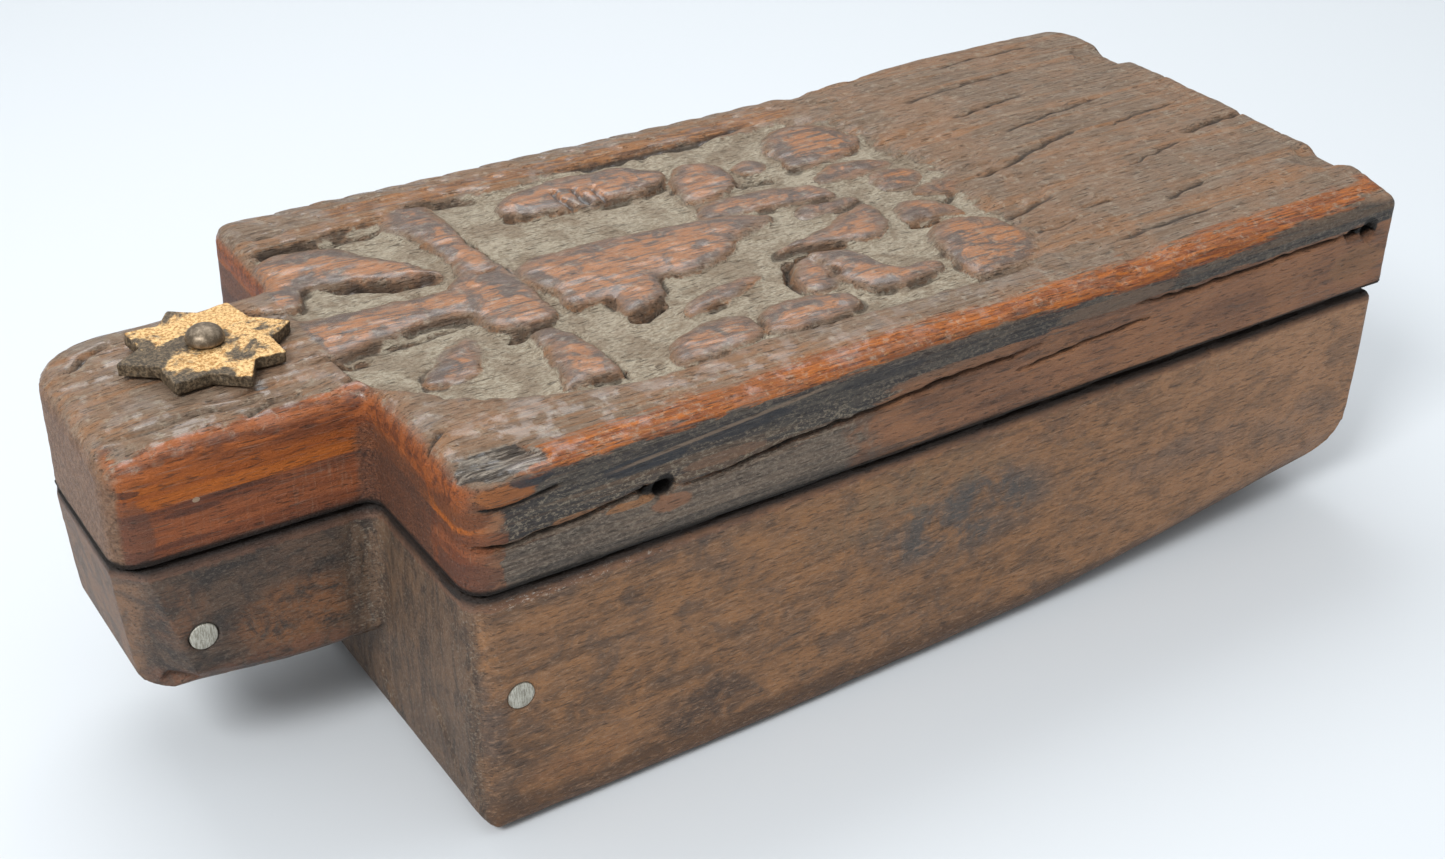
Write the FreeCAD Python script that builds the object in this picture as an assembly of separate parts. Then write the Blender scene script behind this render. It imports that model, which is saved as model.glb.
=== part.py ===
import FreeCAD, Part
import math
import os

# A hardwood box carved from two blocks: a hollowed base and a thick relief-carved lid.
# Both have a short neck, and the lid swings sideways about a rivet through the necks.
# Frame: +X runs from the neck to the far end, +Y across, +Z up. The near side is at -Y.
# Origin: under the middle of the whole box, on the surface it rests on.
# Lengths are in millimetres and angles in degrees.

os.makedirs("parts", exist_ok=True)

# Outline of the two blocks, seen from above
total_length = 300.0
neck_length = 52.0
neck_width = 51.0
neck_offset = 1.5
near_side_at_shoulder = 65.5
near_side_at_far_end = 59.5
far_side_at_shoulder = 64.0
far_side_at_far_end = 65.5
near_shoulder_radius = 6.0
far_shoulder_radius = 9.0
near_far_corner_radius = 3.0
far_corner_radius = 8.0
neck_near_radius = 6.0
neck_far_radius = 16.0
inner_corner_radius = 3.5

# Base block
base_height = 57.0
base_setback = 2.5
neck_underside = 25.5
neck_end_rake = 4.0
neck_end_radius = 3.0
neck_bottom_chamfer = 2.5
neck_facet_at_top = 4.5
neck_facet_at_bottom = 7.0
front_bottom_radius = 8.0
flat_bottom_length = 143.0
far_bottom_rise = 5.0
far_bottom_radius = 26.0
far_face_lean = 2.5
side_bottom_radius = 5.0

# Hollow in the base
front_wall = 22.0
far_wall = 13.5
floor_thickness = 12.0
hollow_width = 98.0
hollow_offset = 2.0
hollow_corner_radius = 9.0
hollow_floor_radius = 5.0

# Lid plank
lid_gap = 0.5
lid_thickness = 25.5
lid_arris_radius = 3.0
field_depth = 2.5
motif_height = 2.2
motif_slope = 1.0
motif_bite = 0.4
scoop_radius = 10.0
scoop_depth = 2.5
scoop_inset = 4.0
scoop_far_y = 40.0
scoop_near_y = -38.0
peg_hole_radius = 2.1
peg_hole_depth = 24.0
first_peg_from_shoulder = 42.0
first_peg_above_lid_bottom = 11.6
last_peg_from_far_end = 9.5
last_peg_above_lid_bottom = 17.0

# Pivot: rivet, star plate and rove on one upright axis
pivot_from_neck_end = 31.0
pivot_from_neck_centre = 2.5
shank_radius = 2.7
head_radius = 3.9
head_height = 3.6
tail_radius = 4.2
tail_height = 2.0
star_thickness = 2.6
star_point_radius = 18.0
star_root_radius = 12.7
star_point_angles = [0, 55, 97, 137, 180, 231, 279, 316]
rove_radius = 7.0
rove_thickness = 1.6

# Rods driven across the base
rod_radius = 2.9
neck_rod_from_end = 15.0
neck_rod_above_underside = 12.9
shoulder_rod_from_shoulder = 10.0
shoulder_rod_z = 32.5
rod_setback = 0.15

# Clearances
fixed_fit = 0.05
lid_running_fit = 0.1
star_running_fit = 0.3
star_to_lid = 0.1
head_to_star = 0.2

# Positions that follow from the sizes above
neck_end_x = -total_length / 2
far_end_x = total_length / 2
shoulder_x = neck_end_x + neck_length
base_far_x = far_end_x - base_setback
neck_near_y = neck_offset - neck_width / 2
neck_far_y = neck_offset + neck_width / 2
pivot_x = neck_end_x + pivot_from_neck_end
pivot_y = neck_offset + pivot_from_neck_centre
neck_rod_x = neck_end_x + neck_rod_from_end
neck_rod_z = neck_underside + neck_rod_above_underside
shoulder_rod_x = shoulder_x + shoulder_rod_from_shoulder
peg_holes = [
    (shoulder_x + first_peg_from_shoulder, first_peg_above_lid_bottom),
    (far_end_x - last_peg_from_far_end, last_peg_above_lid_bottom),
]
lid_bottom = base_height + lid_gap
lid_top = lid_bottom + lid_thickness
field_floor = lid_top - field_depth
star_bottom = lid_top + star_to_lid
star_top = star_bottom + star_thickness
head_bottom = star_top + head_to_star
rove_bottom = neck_underside - rove_thickness
across_reach = 80.0


def roundedWire(corners, place):
    """Closed wire through corners (a, b, radius), each rounded; place maps (a, b) to a point."""
    points = [FreeCAD.Vector(a, b, 0) for a, b, radius in corners]
    edges = []
    cut_points = []
    for index, (a, b, radius) in enumerate(corners):
        corner = points[index]
        before = (points[index - 1] - corner).normalize()
        after = (points[(index + 1) % len(points)] - corner).normalize()
        half_angle = before.getAngle(after) / 2
        reach = radius / math.tan(half_angle)
        inward = (before + after).normalize()
        centre = corner + inward * (radius / math.sin(half_angle))
        start = corner + before * reach
        end = corner + after * reach
        middle = centre - inward * radius
        cut_points.append((start, middle, end))
    for index, (start, middle, end) in enumerate(cut_points):
        edges.append(Part.Arc(place(start), place(middle), place(end)).toShape())
        next_start = cut_points[(index + 1) % len(cut_points)][0]
        if (next_start - end).Length > 1e-6:
            edges.append(Part.makeLine(place(end), place(next_start)))
    return Part.Wire(edges)


def uprightPrism(corners, low, high):
    wire = roundedWire(corners, lambda p: FreeCAD.Vector(p.x, p.y, low))
    return Part.Face(wire).extrude(FreeCAD.Vector(0, 0, high - low))


def sideProfilePrism(corners):
    """Prism across the whole width of the box, from an outline in X and Z."""
    wire = roundedWire(corners, lambda p: FreeCAD.Vector(p.x, -across_reach, p.y))
    return Part.Face(wire).extrude(FreeCAD.Vector(0, 2 * across_reach, 0))


def paddleCorners(far_x):
    """The outline both blocks share, counter-clockwise from the near shoulder."""
    return [
        (shoulder_x, -near_side_at_shoulder, near_shoulder_radius),
        (far_x, -near_side_at_far_end, near_far_corner_radius),
        (far_x, far_side_at_far_end, far_corner_radius),
        (shoulder_x, far_side_at_shoulder, far_shoulder_radius),
        (shoulder_x, neck_far_y, inner_corner_radius),
        (neck_end_x, neck_far_y, neck_far_radius),
        (neck_end_x, neck_near_y, neck_near_radius),
        (shoulder_x, neck_near_y, inner_corner_radius),
    ]


def cornerCutter(start, along, outward, radius):
    """What rounding a bottom edge removes: the edge runs from start, in direction along."""
    up = FreeCAD.Vector(0, 0, 1)
    inner = start - outward * radius
    side = start + up * radius
    middle = start + (up - outward) * radius * (1 - math.sqrt(0.5))
    edges = [
        Part.Arc(inner, middle, side).toShape(),
        Part.makeLine(side, side + outward * radius),
        Part.makeLine(side + outward * radius, start + (outward - up) * radius),
        Part.makeLine(start + (outward - up) * radius, inner - up * radius),
        Part.makeLine(inner - up * radius, inner),
    ]
    return Part.Face(Part.Wire(edges)).extrude(along)


def sideEdgeCutter(y_at_shoulder, y_at_far_end):
    """Rounds one long bottom edge of the base, following the taper of its wall."""
    start = FreeCAD.Vector(shoulder_x, y_at_shoulder, 0)
    end = FreeCAD.Vector(base_far_x, y_at_far_end, 0)
    run = (end - start).normalize()
    side = math.copysign(1, y_at_shoulder)
    outward = FreeCAD.Vector(-run.y * side, run.x * side, 0)
    extra = 20.0
    return cornerCutter(start - run * extra, run * (end - start).dot(run) + run * 60, outward,
                        side_bottom_radius)


def neckChamferCutter(edge_y, side):
    """Triangular prism that chamfers one long bottom edge of the neck."""
    size = neck_bottom_chamfer
    wire = Part.makePolygon([
        FreeCAD.Vector(neck_end_x - 1, edge_y - side * size, neck_underside),
        FreeCAD.Vector(neck_end_x - 1, edge_y, neck_underside + size),
        FreeCAD.Vector(neck_end_x - 1, edge_y + side * size, neck_underside - 0.5),
        FreeCAD.Vector(neck_end_x - 1, edge_y - side * size, neck_underside - 0.5),
        FreeCAD.Vector(neck_end_x - 1, edge_y - side * size, neck_underside),
    ])
    return Part.Face(wire).extrude(FreeCAD.Vector(neck_length + 1 - inner_corner_radius, 0, 0))


def neckFacetCutter():
    """The slanting flat cut over the neck's near end corner, wider towards the bottom."""
    def facetWire(size, z):
        corner = FreeCAD.Vector(neck_end_x, neck_near_y, z)
        return Part.makePolygon([
            corner + FreeCAD.Vector(size, 0, 0),
            corner + FreeCAD.Vector(0, size, 0),
            corner + FreeCAD.Vector(-size, size, 0),
            corner + FreeCAD.Vector(-size, -size, 0),
            corner + FreeCAD.Vector(size, -size, 0),
            corner + FreeCAD.Vector(size, 0, 0),
        ])
    top = facetWire(neck_facet_at_top, base_height + 0.5)
    bottom = facetWire(neck_facet_at_bottom + neck_end_rake, neck_underside - 0.5)
    return Part.makeLoft([bottom, top], True, True)


def acrossCylinder(x, z, radius, from_y, to_y):
    return Part.makeCylinder(radius, to_y - from_y, FreeCAD.Vector(x, from_y, z),
                             FreeCAD.Vector(0, 1, 0))


def uprightCylinder(radius, low, high):
    return Part.makeCylinder(radius, high - low, FreeCAD.Vector(pivot_x, pivot_y, low))


def wallY(x, y_at_shoulder, y_at_far_end):
    """Where a long outer wall is at the given x."""
    share = (x - shoulder_x) / (far_end_x - shoulder_x)
    return y_at_shoulder + share * (y_at_far_end - y_at_shoulder)


def makeHollow():
    corners = [
        (shoulder_x + front_wall, hollow_offset - hollow_width / 2, hollow_corner_radius),
        (base_far_x - far_wall, hollow_offset - hollow_width / 2, hollow_corner_radius),
        (base_far_x - far_wall, hollow_offset + hollow_width / 2, hollow_corner_radius),
        (shoulder_x + front_wall, hollow_offset + hollow_width / 2, hollow_corner_radius),
    ]
    prism = uprightPrism(corners, floor_thickness, base_height + 1)
    floor_edges = [e for e in prism.Edges if e.BoundBox.ZMax < floor_thickness + 0.01]
    return prism.makeFillet(hollow_floor_radius, floor_edges)


def makeBase():
    block = uprightPrism(paddleCorners(base_far_x), 0, base_height)
    profile = sideProfilePrism([
        (neck_end_x + neck_end_rake, neck_underside, neck_end_radius),
        (shoulder_x, neck_underside, inner_corner_radius / 2),
        (shoulder_x, 0, front_bottom_radius),
        (shoulder_x + flat_bottom_length, 0, 60),
        (base_far_x - far_face_lean, far_bottom_rise, far_bottom_radius),
        (base_far_x, base_height, 0.01),
        (neck_end_x, base_height, 0.01),
    ])
    block = block.common(profile)
    block = block.cut(sideEdgeCutter(-near_side_at_shoulder, -near_side_at_far_end))
    block = block.cut(sideEdgeCutter(far_side_at_shoulder, far_side_at_far_end))
    block = block.cut(neckChamferCutter(neck_near_y, -1))
    block = block.cut(neckChamferCutter(neck_far_y, 1))
    block = block.cut(neckFacetCutter())
    block = block.cut(makeHollow())
    bore_radius = rod_radius + fixed_fit
    block = block.cut(acrossCylinder(neck_rod_x, neck_rod_z, bore_radius, -across_reach, across_reach))
    block = block.cut(acrossCylinder(shoulder_rod_x, shoulder_rod_z, bore_radius,
                                     -across_reach, across_reach))
    block = block.cut(uprightCylinder(shank_radius + fixed_fit, neck_underside - 1, base_height + 1))
    return block


def motif(outline):
    """One raised piece of the relief, its sides sloping in from the floor of the field."""
    floor_face = Part.Face(outline(0.0, field_floor - motif_bite))
    top_wire = outline(motif_slope, field_floor + motif_height)
    return Part.makeLoft([floor_face.OuterWire, top_wire], True, True)


def leaf(x1, y1, x2, y2, width):
    """Pointed oval from one tip to the other; x is measured from the shoulder."""
    def outline(inset, z):
        start = FreeCAD.Vector(shoulder_x + x1, y1, z)
        end = FreeCAD.Vector(shoulder_x + x2, y2, z)
        along = (end - start).normalize()
        across = FreeCAD.Vector(-along.y, along.x, 0)
        start = start + along * inset * 2
        end = end - along * inset * 2
        middle = (start + end) * 0.5
        bulge = across * (width / 2 - inset)
        return Part.Wire([
            Part.Arc(start, middle - bulge, end).toShape(),
            Part.Arc(end, middle + bulge, start).toShape(),
        ])
    return motif(outline)


def bar(x1, y1, x2, y2, start_width, end_width):
    """Straight band whose width changes evenly; x is measured from the shoulder."""
    def outline(inset, z):
        start = FreeCAD.Vector(shoulder_x + x1, y1, z)
        end = FreeCAD.Vector(shoulder_x + x2, y2, z)
        along = (end - start).normalize()
        across = FreeCAD.Vector(-along.y, along.x, 0)
        start = start + along * inset
        end = end - along * inset
        corners = [
            start - across * (start_width / 2 - inset),
            end - across * (end_width / 2 - inset),
            end + across * (end_width / 2 - inset),
            start + across * (start_width / 2 - inset),
        ]
        return roundedWire([(c.x, c.y, 1.5) for c in corners],
                           lambda p: FreeCAD.Vector(p.x, p.y, z))
    return motif(outline)


def makeRelief():
    """The plant that fills the field: a cross band, a boss, a stem and its leaves."""
    return [
        bar(-10, 2, 36, 1, 19, 11),
        bar(42, 54, 42, 10, 9, 10),
        bar(41, 12, 41, -15, 14, 14),
        bar(42, -17, 39.5, -43, 8, 12),
        leaf(-3, 38, 35, 14, 19),
        leaf(2, -14, 32, -27, 11),
        bar(50, -1, 107, 1, 20, 8),
        leaf(58, 36, 102, 35, 17),
        leaf(59, -25, 74, -8, 9),
        leaf(68, -28, 93, -20, 8),
        leaf(56, -44, 105, -38, 12),
        leaf(97, -34, 118, -19, 17),
        leaf(100, -13, 134, -2, 11),
        leaf(98, 18, 122, 33, 14),
        leaf(96, 10, 136, 13, 10),
        leaf(131, -42, 152, -22, 20),
        leaf(132, 19, 156, 23, 12),
    ]


def makeField():
    """Where the top is cut down around the relief."""
    return uprightPrism([
        (shoulder_x + 1, -27, 3),
        (shoulder_x + 19, -35, 6),
        (shoulder_x + 61, -46, 20),
        (shoulder_x + 148, -47, 6),
        (shoulder_x + 156, 0, 30),
        (shoulder_x + 150, 49, 8),
        (shoulder_x + 38, 50, 10),
        (shoulder_x + 1, 41, 5),
    ], field_floor, lid_top + 1)


def makeLid():
    plank = uprightPrism(paddleCorners(far_end_x), lid_bottom, lid_top)
    top_edges = [e for e in plank.Edges if e.BoundBox.ZMin > lid_top - 0.01]
    plank = plank.makeFillet(lid_arris_radius, top_edges)
    outside = plank.copy()
    plank = plank.cut(makeField())
    for piece in makeRelief():
        plank = plank.fuse(piece.common(outside))
    for scoop_y in (scoop_near_y, scoop_far_y):
        centre = FreeCAD.Vector(far_end_x - scoop_inset, scoop_y, lid_top + scoop_radius - scoop_depth)
        plank = plank.cut(Part.makeSphere(scoop_radius, centre))
    for hole_x, height in peg_holes:
        side_y = wallY(hole_x, -near_side_at_shoulder, -near_side_at_far_end)
        plank = plank.cut(acrossCylinder(hole_x, lid_bottom + height, peg_hole_radius,
                                         side_y - 3, side_y + peg_hole_depth))
    plank = plank.cut(uprightCylinder(shank_radius + lid_running_fit, lid_bottom - 1, lid_top + 1))
    return plank.removeSplitter()


def makeStar():
    points = []
    for index, angle in enumerate(star_point_angles):
        next_angle = (star_point_angles + [360])[index + 1]
        root_angle = (angle + next_angle) / 2
        for turn, radius in ((angle, star_point_radius), (root_angle, star_root_radius)):
            points.append(FreeCAD.Vector(pivot_x + radius * math.cos(math.radians(turn)),
                                         pivot_y + radius * math.sin(math.radians(turn)),
                                         star_bottom))
    plate = Part.Face(Part.makePolygon(points + [points[0]]))
    plate = plate.extrude(FreeCAD.Vector(0, 0, star_thickness))
    return plate.cut(uprightCylinder(shank_radius + star_running_fit, star_bottom - 1, star_top + 1))


def dome(radius, height, z, upward):
    """Round cap standing on the level z, with its crown up or down."""
    sphere_radius = (radius ** 2 + height ** 2) / (2 * height)
    sign = 1 if upward else -1
    centre = FreeCAD.Vector(pivot_x, pivot_y, z + sign * (height - sphere_radius))
    ball = Part.makeSphere(sphere_radius, centre)
    low = z if upward else z - height - 1
    return ball.common(uprightCylinder(sphere_radius + 1, low, low + height + 1))


def makeRivet():
    shank = uprightCylinder(shank_radius, rove_bottom - 0.5, head_bottom + 0.5)
    rivet = shank.fuse(dome(head_radius, head_height, head_bottom, True))
    rivet = rivet.fuse(dome(tail_radius, tail_height, rove_bottom, False))
    return rivet.removeSplitter()


def makeRove():
    disc = uprightCylinder(rove_radius, rove_bottom, neck_underside)
    return disc.cut(uprightCylinder(shank_radius + fixed_fit, rove_bottom - 1, neck_underside + 1))


def makeNeckRod():
    return acrossCylinder(neck_rod_x, neck_rod_z, rod_radius, neck_near_y + rod_setback,
                          neck_far_y - rod_setback)


def makeShoulderRod():
    near_y = wallY(shoulder_rod_x, -near_side_at_shoulder, -near_side_at_far_end)
    far_y = wallY(shoulder_rod_x, far_side_at_shoulder, far_side_at_far_end)
    return acrossCylinder(shoulder_rod_x, shoulder_rod_z, rod_radius, near_y + rod_setback,
                          far_y - rod_setback)


for node, shape in (
    ("base_block", makeBase()),
    ("lid_plank", makeLid()),
    ("star_plate", makeStar()),
    ("pivot_rivet", makeRivet()),
    ("rivet_rove", makeRove()),
    ("neck_cross_rod", makeNeckRod()),
    ("shoulder_cross_rod", makeShoulderRod()),
):
    solid = shape.Solids[0] if len(shape.Solids) == 1 else shape
    print(node, "solids", len(shape.Solids), "valid", shape.isValid(), "volume", round(shape.Volume))
    solid.exportStep("parts/" + node + ".step")
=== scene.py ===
import math

import bmesh
import bpy
import numpy as np
from mathutils import Matrix, Vector


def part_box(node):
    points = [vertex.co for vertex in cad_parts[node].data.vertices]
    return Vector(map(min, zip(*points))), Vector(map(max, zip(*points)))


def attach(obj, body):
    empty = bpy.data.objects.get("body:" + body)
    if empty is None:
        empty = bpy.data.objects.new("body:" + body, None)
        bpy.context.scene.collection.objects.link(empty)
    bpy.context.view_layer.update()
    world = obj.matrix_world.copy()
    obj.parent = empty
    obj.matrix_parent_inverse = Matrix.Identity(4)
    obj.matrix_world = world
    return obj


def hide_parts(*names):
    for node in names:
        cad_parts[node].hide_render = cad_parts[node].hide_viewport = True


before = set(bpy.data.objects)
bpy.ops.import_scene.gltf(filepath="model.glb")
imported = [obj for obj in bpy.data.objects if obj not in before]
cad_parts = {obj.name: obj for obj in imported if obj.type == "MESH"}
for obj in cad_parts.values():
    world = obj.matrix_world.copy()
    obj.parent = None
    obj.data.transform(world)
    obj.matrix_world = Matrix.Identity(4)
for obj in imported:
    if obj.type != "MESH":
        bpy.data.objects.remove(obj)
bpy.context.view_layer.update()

# shapes are worked out in millimetres and written to the meshes in metres
mm = 0.001

def boxOf(node):
    low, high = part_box(node)
    return low / mm, high / mm

baseLow, baseHigh = boxOf("base_block")
lidLow, lidHigh = boxOf("lid_plank")
starLow, starHigh = boxOf("star_plate")
rivetLow, rivetHigh = boxOf("pivot_rivet")
pivotX = (rivetLow.x + rivetHigh.x) / 2
pivotY = (rivetLow.y + rivetHigh.y) / 2

# outline shared by both blocks: x, y and corner radius, counter-clockwise from the near shoulder
paddle = {
    "shoulderX": lidLow.x + 52.0,
    "nearAtShoulder": -65.5,
    "nearAtFarEnd": -59.5,
    "farAtShoulder": 64.0,
    "farAtFarEnd": 65.5,
    "neckNear": -24.0,
    "neckFar": 27.0,
}


def paddleCorners(farX):
    p = paddle
    return [
        (p["shoulderX"], p["nearAtShoulder"], 6.0),
        (farX, p["nearAtFarEnd"], 3.0),
        (farX, p["farAtFarEnd"], 8.0),
        (p["shoulderX"], p["farAtShoulder"], 9.0),
        (p["shoulderX"], p["neckFar"], 3.5),
        (lidLow.x, p["neckFar"], 16.0),
        (lidLow.x, p["neckNear"], 6.0),
        (p["shoulderX"], p["neckNear"], 3.5),
    ]


def nearWallY(x):
    share = (x - paddle["shoulderX"]) / (lidHigh.x - paddle["shoulderX"])
    wall = paddle["nearAtShoulder"] + share * (paddle["nearAtFarEnd"] - paddle["nearAtShoulder"])
    return np.where(x < paddle["shoulderX"], paddle["neckNear"], wall)


def smoothStep(low, high, value):
    t = np.clip((value - low) / (high - low), 0.0, 1.0)
    return t * t * (3.0 - 2.0 * t)


def cornerValue(ix, iy, iz, seed):
    mixed = (ix * 73856093) ^ (iy * 19349663) ^ (iz * 83492791) ^ (seed * 2654435)
    mixed = (mixed ^ (mixed >> 13)) * 1274126177
    mixed = (mixed ^ (mixed >> 16)) & 0xFFFF
    return mixed / 32767.5 - 1.0


def waver(x, y, z, seed, octaves=1):
    # smooth noise from about -1 to 1, with a cell to each unit of x, y and z
    total = np.zeros_like(x)
    weight = 0.0
    for octave in range(octaves):
        step = 2.0 ** octave
        cells = [np.floor(v * step).astype(np.int64) for v in (x, y, z)]
        parts = [v * step - c for v, c in zip((x, y, z), cells)]
        fade = [t * t * (3.0 - 2.0 * t) for t in parts]
        value = np.zeros_like(x)
        for corner in range(8):
            dx, dy, dz = corner & 1, (corner >> 1) & 1, corner >> 2
            share = 1.0
            for d, f in zip((dx, dy, dz), fade):
                share = share * (f if d else 1.0 - f)
            value += share * cornerValue(cells[0] + dx, cells[1] + dy, cells[2] + dz, seed + octave)
        total += value / step
        weight += 1.0 / step
    return total / weight


def swell(x, y, longX, longY, seed, octaves=1):
    # noise seen from above, with cells this long in x and y
    return waver(x / longX, y / longY, x * 0, seed, octaves)


def roundLoop(points, rounds=2):
    # cuts the corners of a closed outline, so that a few points give a smooth curve
    loop = np.array(points, float)
    for _ in range(rounds):
        after = np.roll(loop, -1, axis=0)
        loop = np.stack([loop * 0.75 + after * 0.25, loop * 0.25 + after * 0.75], 1).reshape(-1, 2)
    return loop


def loopDistance(x, y, loop, reach=1e9):
    # distance from a closed outline, negative inside; past reach it is only known to be farther
    result = np.full(x.shape, float(reach))
    low, high = loop.min(0) - reach, loop.max(0) + reach
    near = (x > low[0]) & (x < high[0]) & (y > low[1]) & (y < high[1])
    px, py = x[near], y[near]
    best = np.full(px.shape, 1e12)
    inside = np.zeros(px.shape, bool)
    for (ax, ay), (bx, by) in zip(loop, np.roll(loop, -1, axis=0)):
        ex, ey = bx - ax, by - ay
        along = np.clip(((px - ax) * ex + (py - ay) * ey) / (ex * ex + ey * ey + 1e-12), 0.0, 1.0)
        best = np.minimum(best, (px - ax - along * ex) ** 2 + (py - ay - along * ey) ** 2)
        crosses = (ay > py) != (by > py)
        if ey != 0.0:
            inside ^= crosses & (px < ax + (py - ay) * ex / ey)
    distance = np.sqrt(best)
    result[near] = np.where(inside, -distance, distance)
    return result


def lineMark(x, y, points, width):
    # 1 on an open line, falling to 0 at the sides and tapering at both ends
    mark = np.zeros_like(x)
    line = np.array(points, float)
    lengths = np.hypot(*(line[1:] - line[:-1]).T)
    travelled = np.concatenate([[0.0], np.cumsum(lengths)])
    low, high = line.min(0) - 4 * width, line.max(0) + 4 * width
    near = (x > low[0]) & (x < high[0]) & (y > low[1]) & (y < high[1])
    px, py = x[near], y[near]
    best = np.zeros_like(px)
    for index, ((ax, ay), (bx, by)) in enumerate(zip(line[:-1], line[1:])):
        ex, ey = bx - ax, by - ay
        along = np.clip(((px - ax) * ex + (py - ay) * ey) / (ex * ex + ey * ey), 0.0, 1.0)
        distance = np.hypot(px - ax - along * ex, py - ay - along * ey)
        reached = (travelled[index] + along * lengths[index]) / travelled[-1]
        taper = np.clip(np.minimum(reached, 1.0 - reached) * 7.0, 0.12, 1.0)
        best = np.maximum(best, np.exp(-((distance / (width * np.sqrt(taper))) ** 2)) * taper)
    mark[near] = best
    return mark


def newPiece(name, bm):
    mesh = bpy.data.meshes.new(name)
    bm.to_mesh(mesh)
    bm.free()
    piece = bpy.data.objects.new(name, mesh)
    bpy.context.scene.collection.objects.link(piece)
    return piece


def prism(name, corners, low, high, across=False, segments=8):
    # corners are (a, b, radius): a is x, and b is y, or z for a prism that runs across the box
    bm = bmesh.new()
    ring = [bm.verts.new((a * mm, b * mm, low * mm)) for a, b, radius in corners]
    bm.faces.new(ring)
    for index, (a, b, radius) in enumerate(corners):
        before = ring[index].co - Vector((corners[index - 1][0], corners[index - 1][1], low)) * mm
        nextCorner = corners[(index + 1) % len(corners)]
        after = Vector((nextCorner[0], nextCorner[1], low)) * mm - ring[index].co
        turn = before.angle(after)
        reach = radius * math.tan(turn / 2) * mm
        bmesh.ops.bevel(bm, geom=[ring[index]], offset=reach, offset_type="OFFSET",
                        affect="VERTICES", segments=segments, profile=0.5, material=-1)
    made = bmesh.ops.extrude_face_region(bm, geom=bm.faces[:])
    lifted = [v for v in made["geom"] if isinstance(v, bmesh.types.BMVert)]
    bmesh.ops.translate(bm, verts=lifted, vec=(0, 0, (high - low) * mm))
    if across:
        swap = Matrix(((1, 0, 0, 0), (0, 0, 1, 0), (0, 1, 0, 0), (0, 0, 0, 1)))
        bmesh.ops.transform(bm, matrix=swap, verts=bm.verts[:])
    bmesh.ops.recalc_face_normals(bm, faces=bm.faces[:])
    return newPiece(name, bm)


def rod(name, radius, start, end, segments=32):
    # round bar between two points, for cutting holes
    start, end = Vector(start) * mm, Vector(end) * mm
    turn = (end - start).to_track_quat("Z", "Y").to_matrix().to_4x4()
    bm = bmesh.new()
    bmesh.ops.create_cone(bm, cap_ends=True, segments=segments, radius1=radius * mm, radius2=radius * mm,
                          depth=(end - start).length, matrix=Matrix.Translation((start + end) / 2) @ turn)
    return newPiece(name, bm)


def settle(piece):
    # applies the modifiers, leaving a plain mesh
    depsgraph = bpy.context.evaluated_depsgraph_get()
    finished = bpy.data.meshes.new_from_object(piece.evaluated_get(depsgraph))
    piece.modifiers.clear()
    old = piece.data
    piece.data = finished
    bpy.data.meshes.remove(old)


def combine(piece, cutters):
    # cutters are (operation, object); each cutter is used up
    for operation, cutter in cutters:
        step = piece.modifiers.new("combine", "BOOLEAN")
        step.operation = operation
        step.object = cutter
        step.solver = "EXACT"
    settle(piece)
    for operation, cutter in cutters:
        bpy.data.objects.remove(cutter, do_unlink=True)


def remesh(piece, cell):
    step = piece.modifiers.new("remesh", "REMESH")
    step.mode = "VOXEL"
    step.voxel_size = cell * mm
    settle(piece)


def thin(piece, triangles):
    # collapses the flattest stretches until about this many triangles are left
    piece.data.calc_loop_triangles()
    now = len(piece.data.loop_triangles)
    if now > triangles:
        step = piece.modifiers.new("thin", "DECIMATE")
        step.ratio = triangles / now
        settle(piece)
    piece.data.polygons.foreach_set("use_smooth", np.ones(len(piece.data.polygons), bool))


def readPoints(piece):
    points = np.zeros(len(piece.data.vertices) * 3, np.float32)
    piece.data.vertices.foreach_get("co", points)
    return points.reshape(-1, 3).astype(float) / mm


def writePoints(piece, points):
    piece.data.vertices.foreach_set("co", (points * mm).astype(np.float32).ravel())
    piece.data.update()


def readNormals(piece):
    normals = np.zeros(len(piece.data.vertices) * 3, np.float32)
    piece.data.vertex_normals.foreach_get("vector", normals)
    return normals.reshape(-1, 3).astype(float)


def writeMasks(piece, masks):
    for name, values in masks.items():
        attribute = piece.data.attributes.new(name, "FLOAT", "POINT")
        attribute.data.foreach_set("value", np.clip(values, 0.0, 1.0).astype(np.float32))


def declare(piece, body, node):
    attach(piece, body)
    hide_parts(node)
    return piece


lid = {
    "cell": 0.6,
    "triangles": 197000,
    "rise": 1.7,             # the plain far half was never cut down, so it stands higher
    "floor": (2.2, 1.6),     # depth of the carved ground, at the neck and where it fades out
    "nearArris": (6.0, 3.1), # how far in and how far down the worn edges go
    "farArris": (6.0, 2.6),
    "endArris": (4.5, 3.2),
    "neckArris": (6.0, 3.6),
    "bore": 3.0,
    "pegRadius": 2.1,
    "pegDepth": 24.0,
    "field": [(-98, -19), (-93, -29), (-87, -34), (-79, -40), (-70, -44), (-60, -46.5), (-50, -48),
              (-38, -47), (-20, -46.5), (0, -46.8), (20, -47.5), (47, -47.4), (57, -41), (60, -26),
              (60, -10), (64, 4), (62, 18), (59, 33), (54, 45), (44, 49.5), (20, 50), (0, 50),
              (-20, 49.5), (-34, 47), (-40, 49.5), (-56, 48.5), (-66, 45), (-75, 45), (-80, 43),
              (-88, 43.3), (-97, 42), (-100, 30), (-99, 10), (-99, -8)],
}

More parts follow.
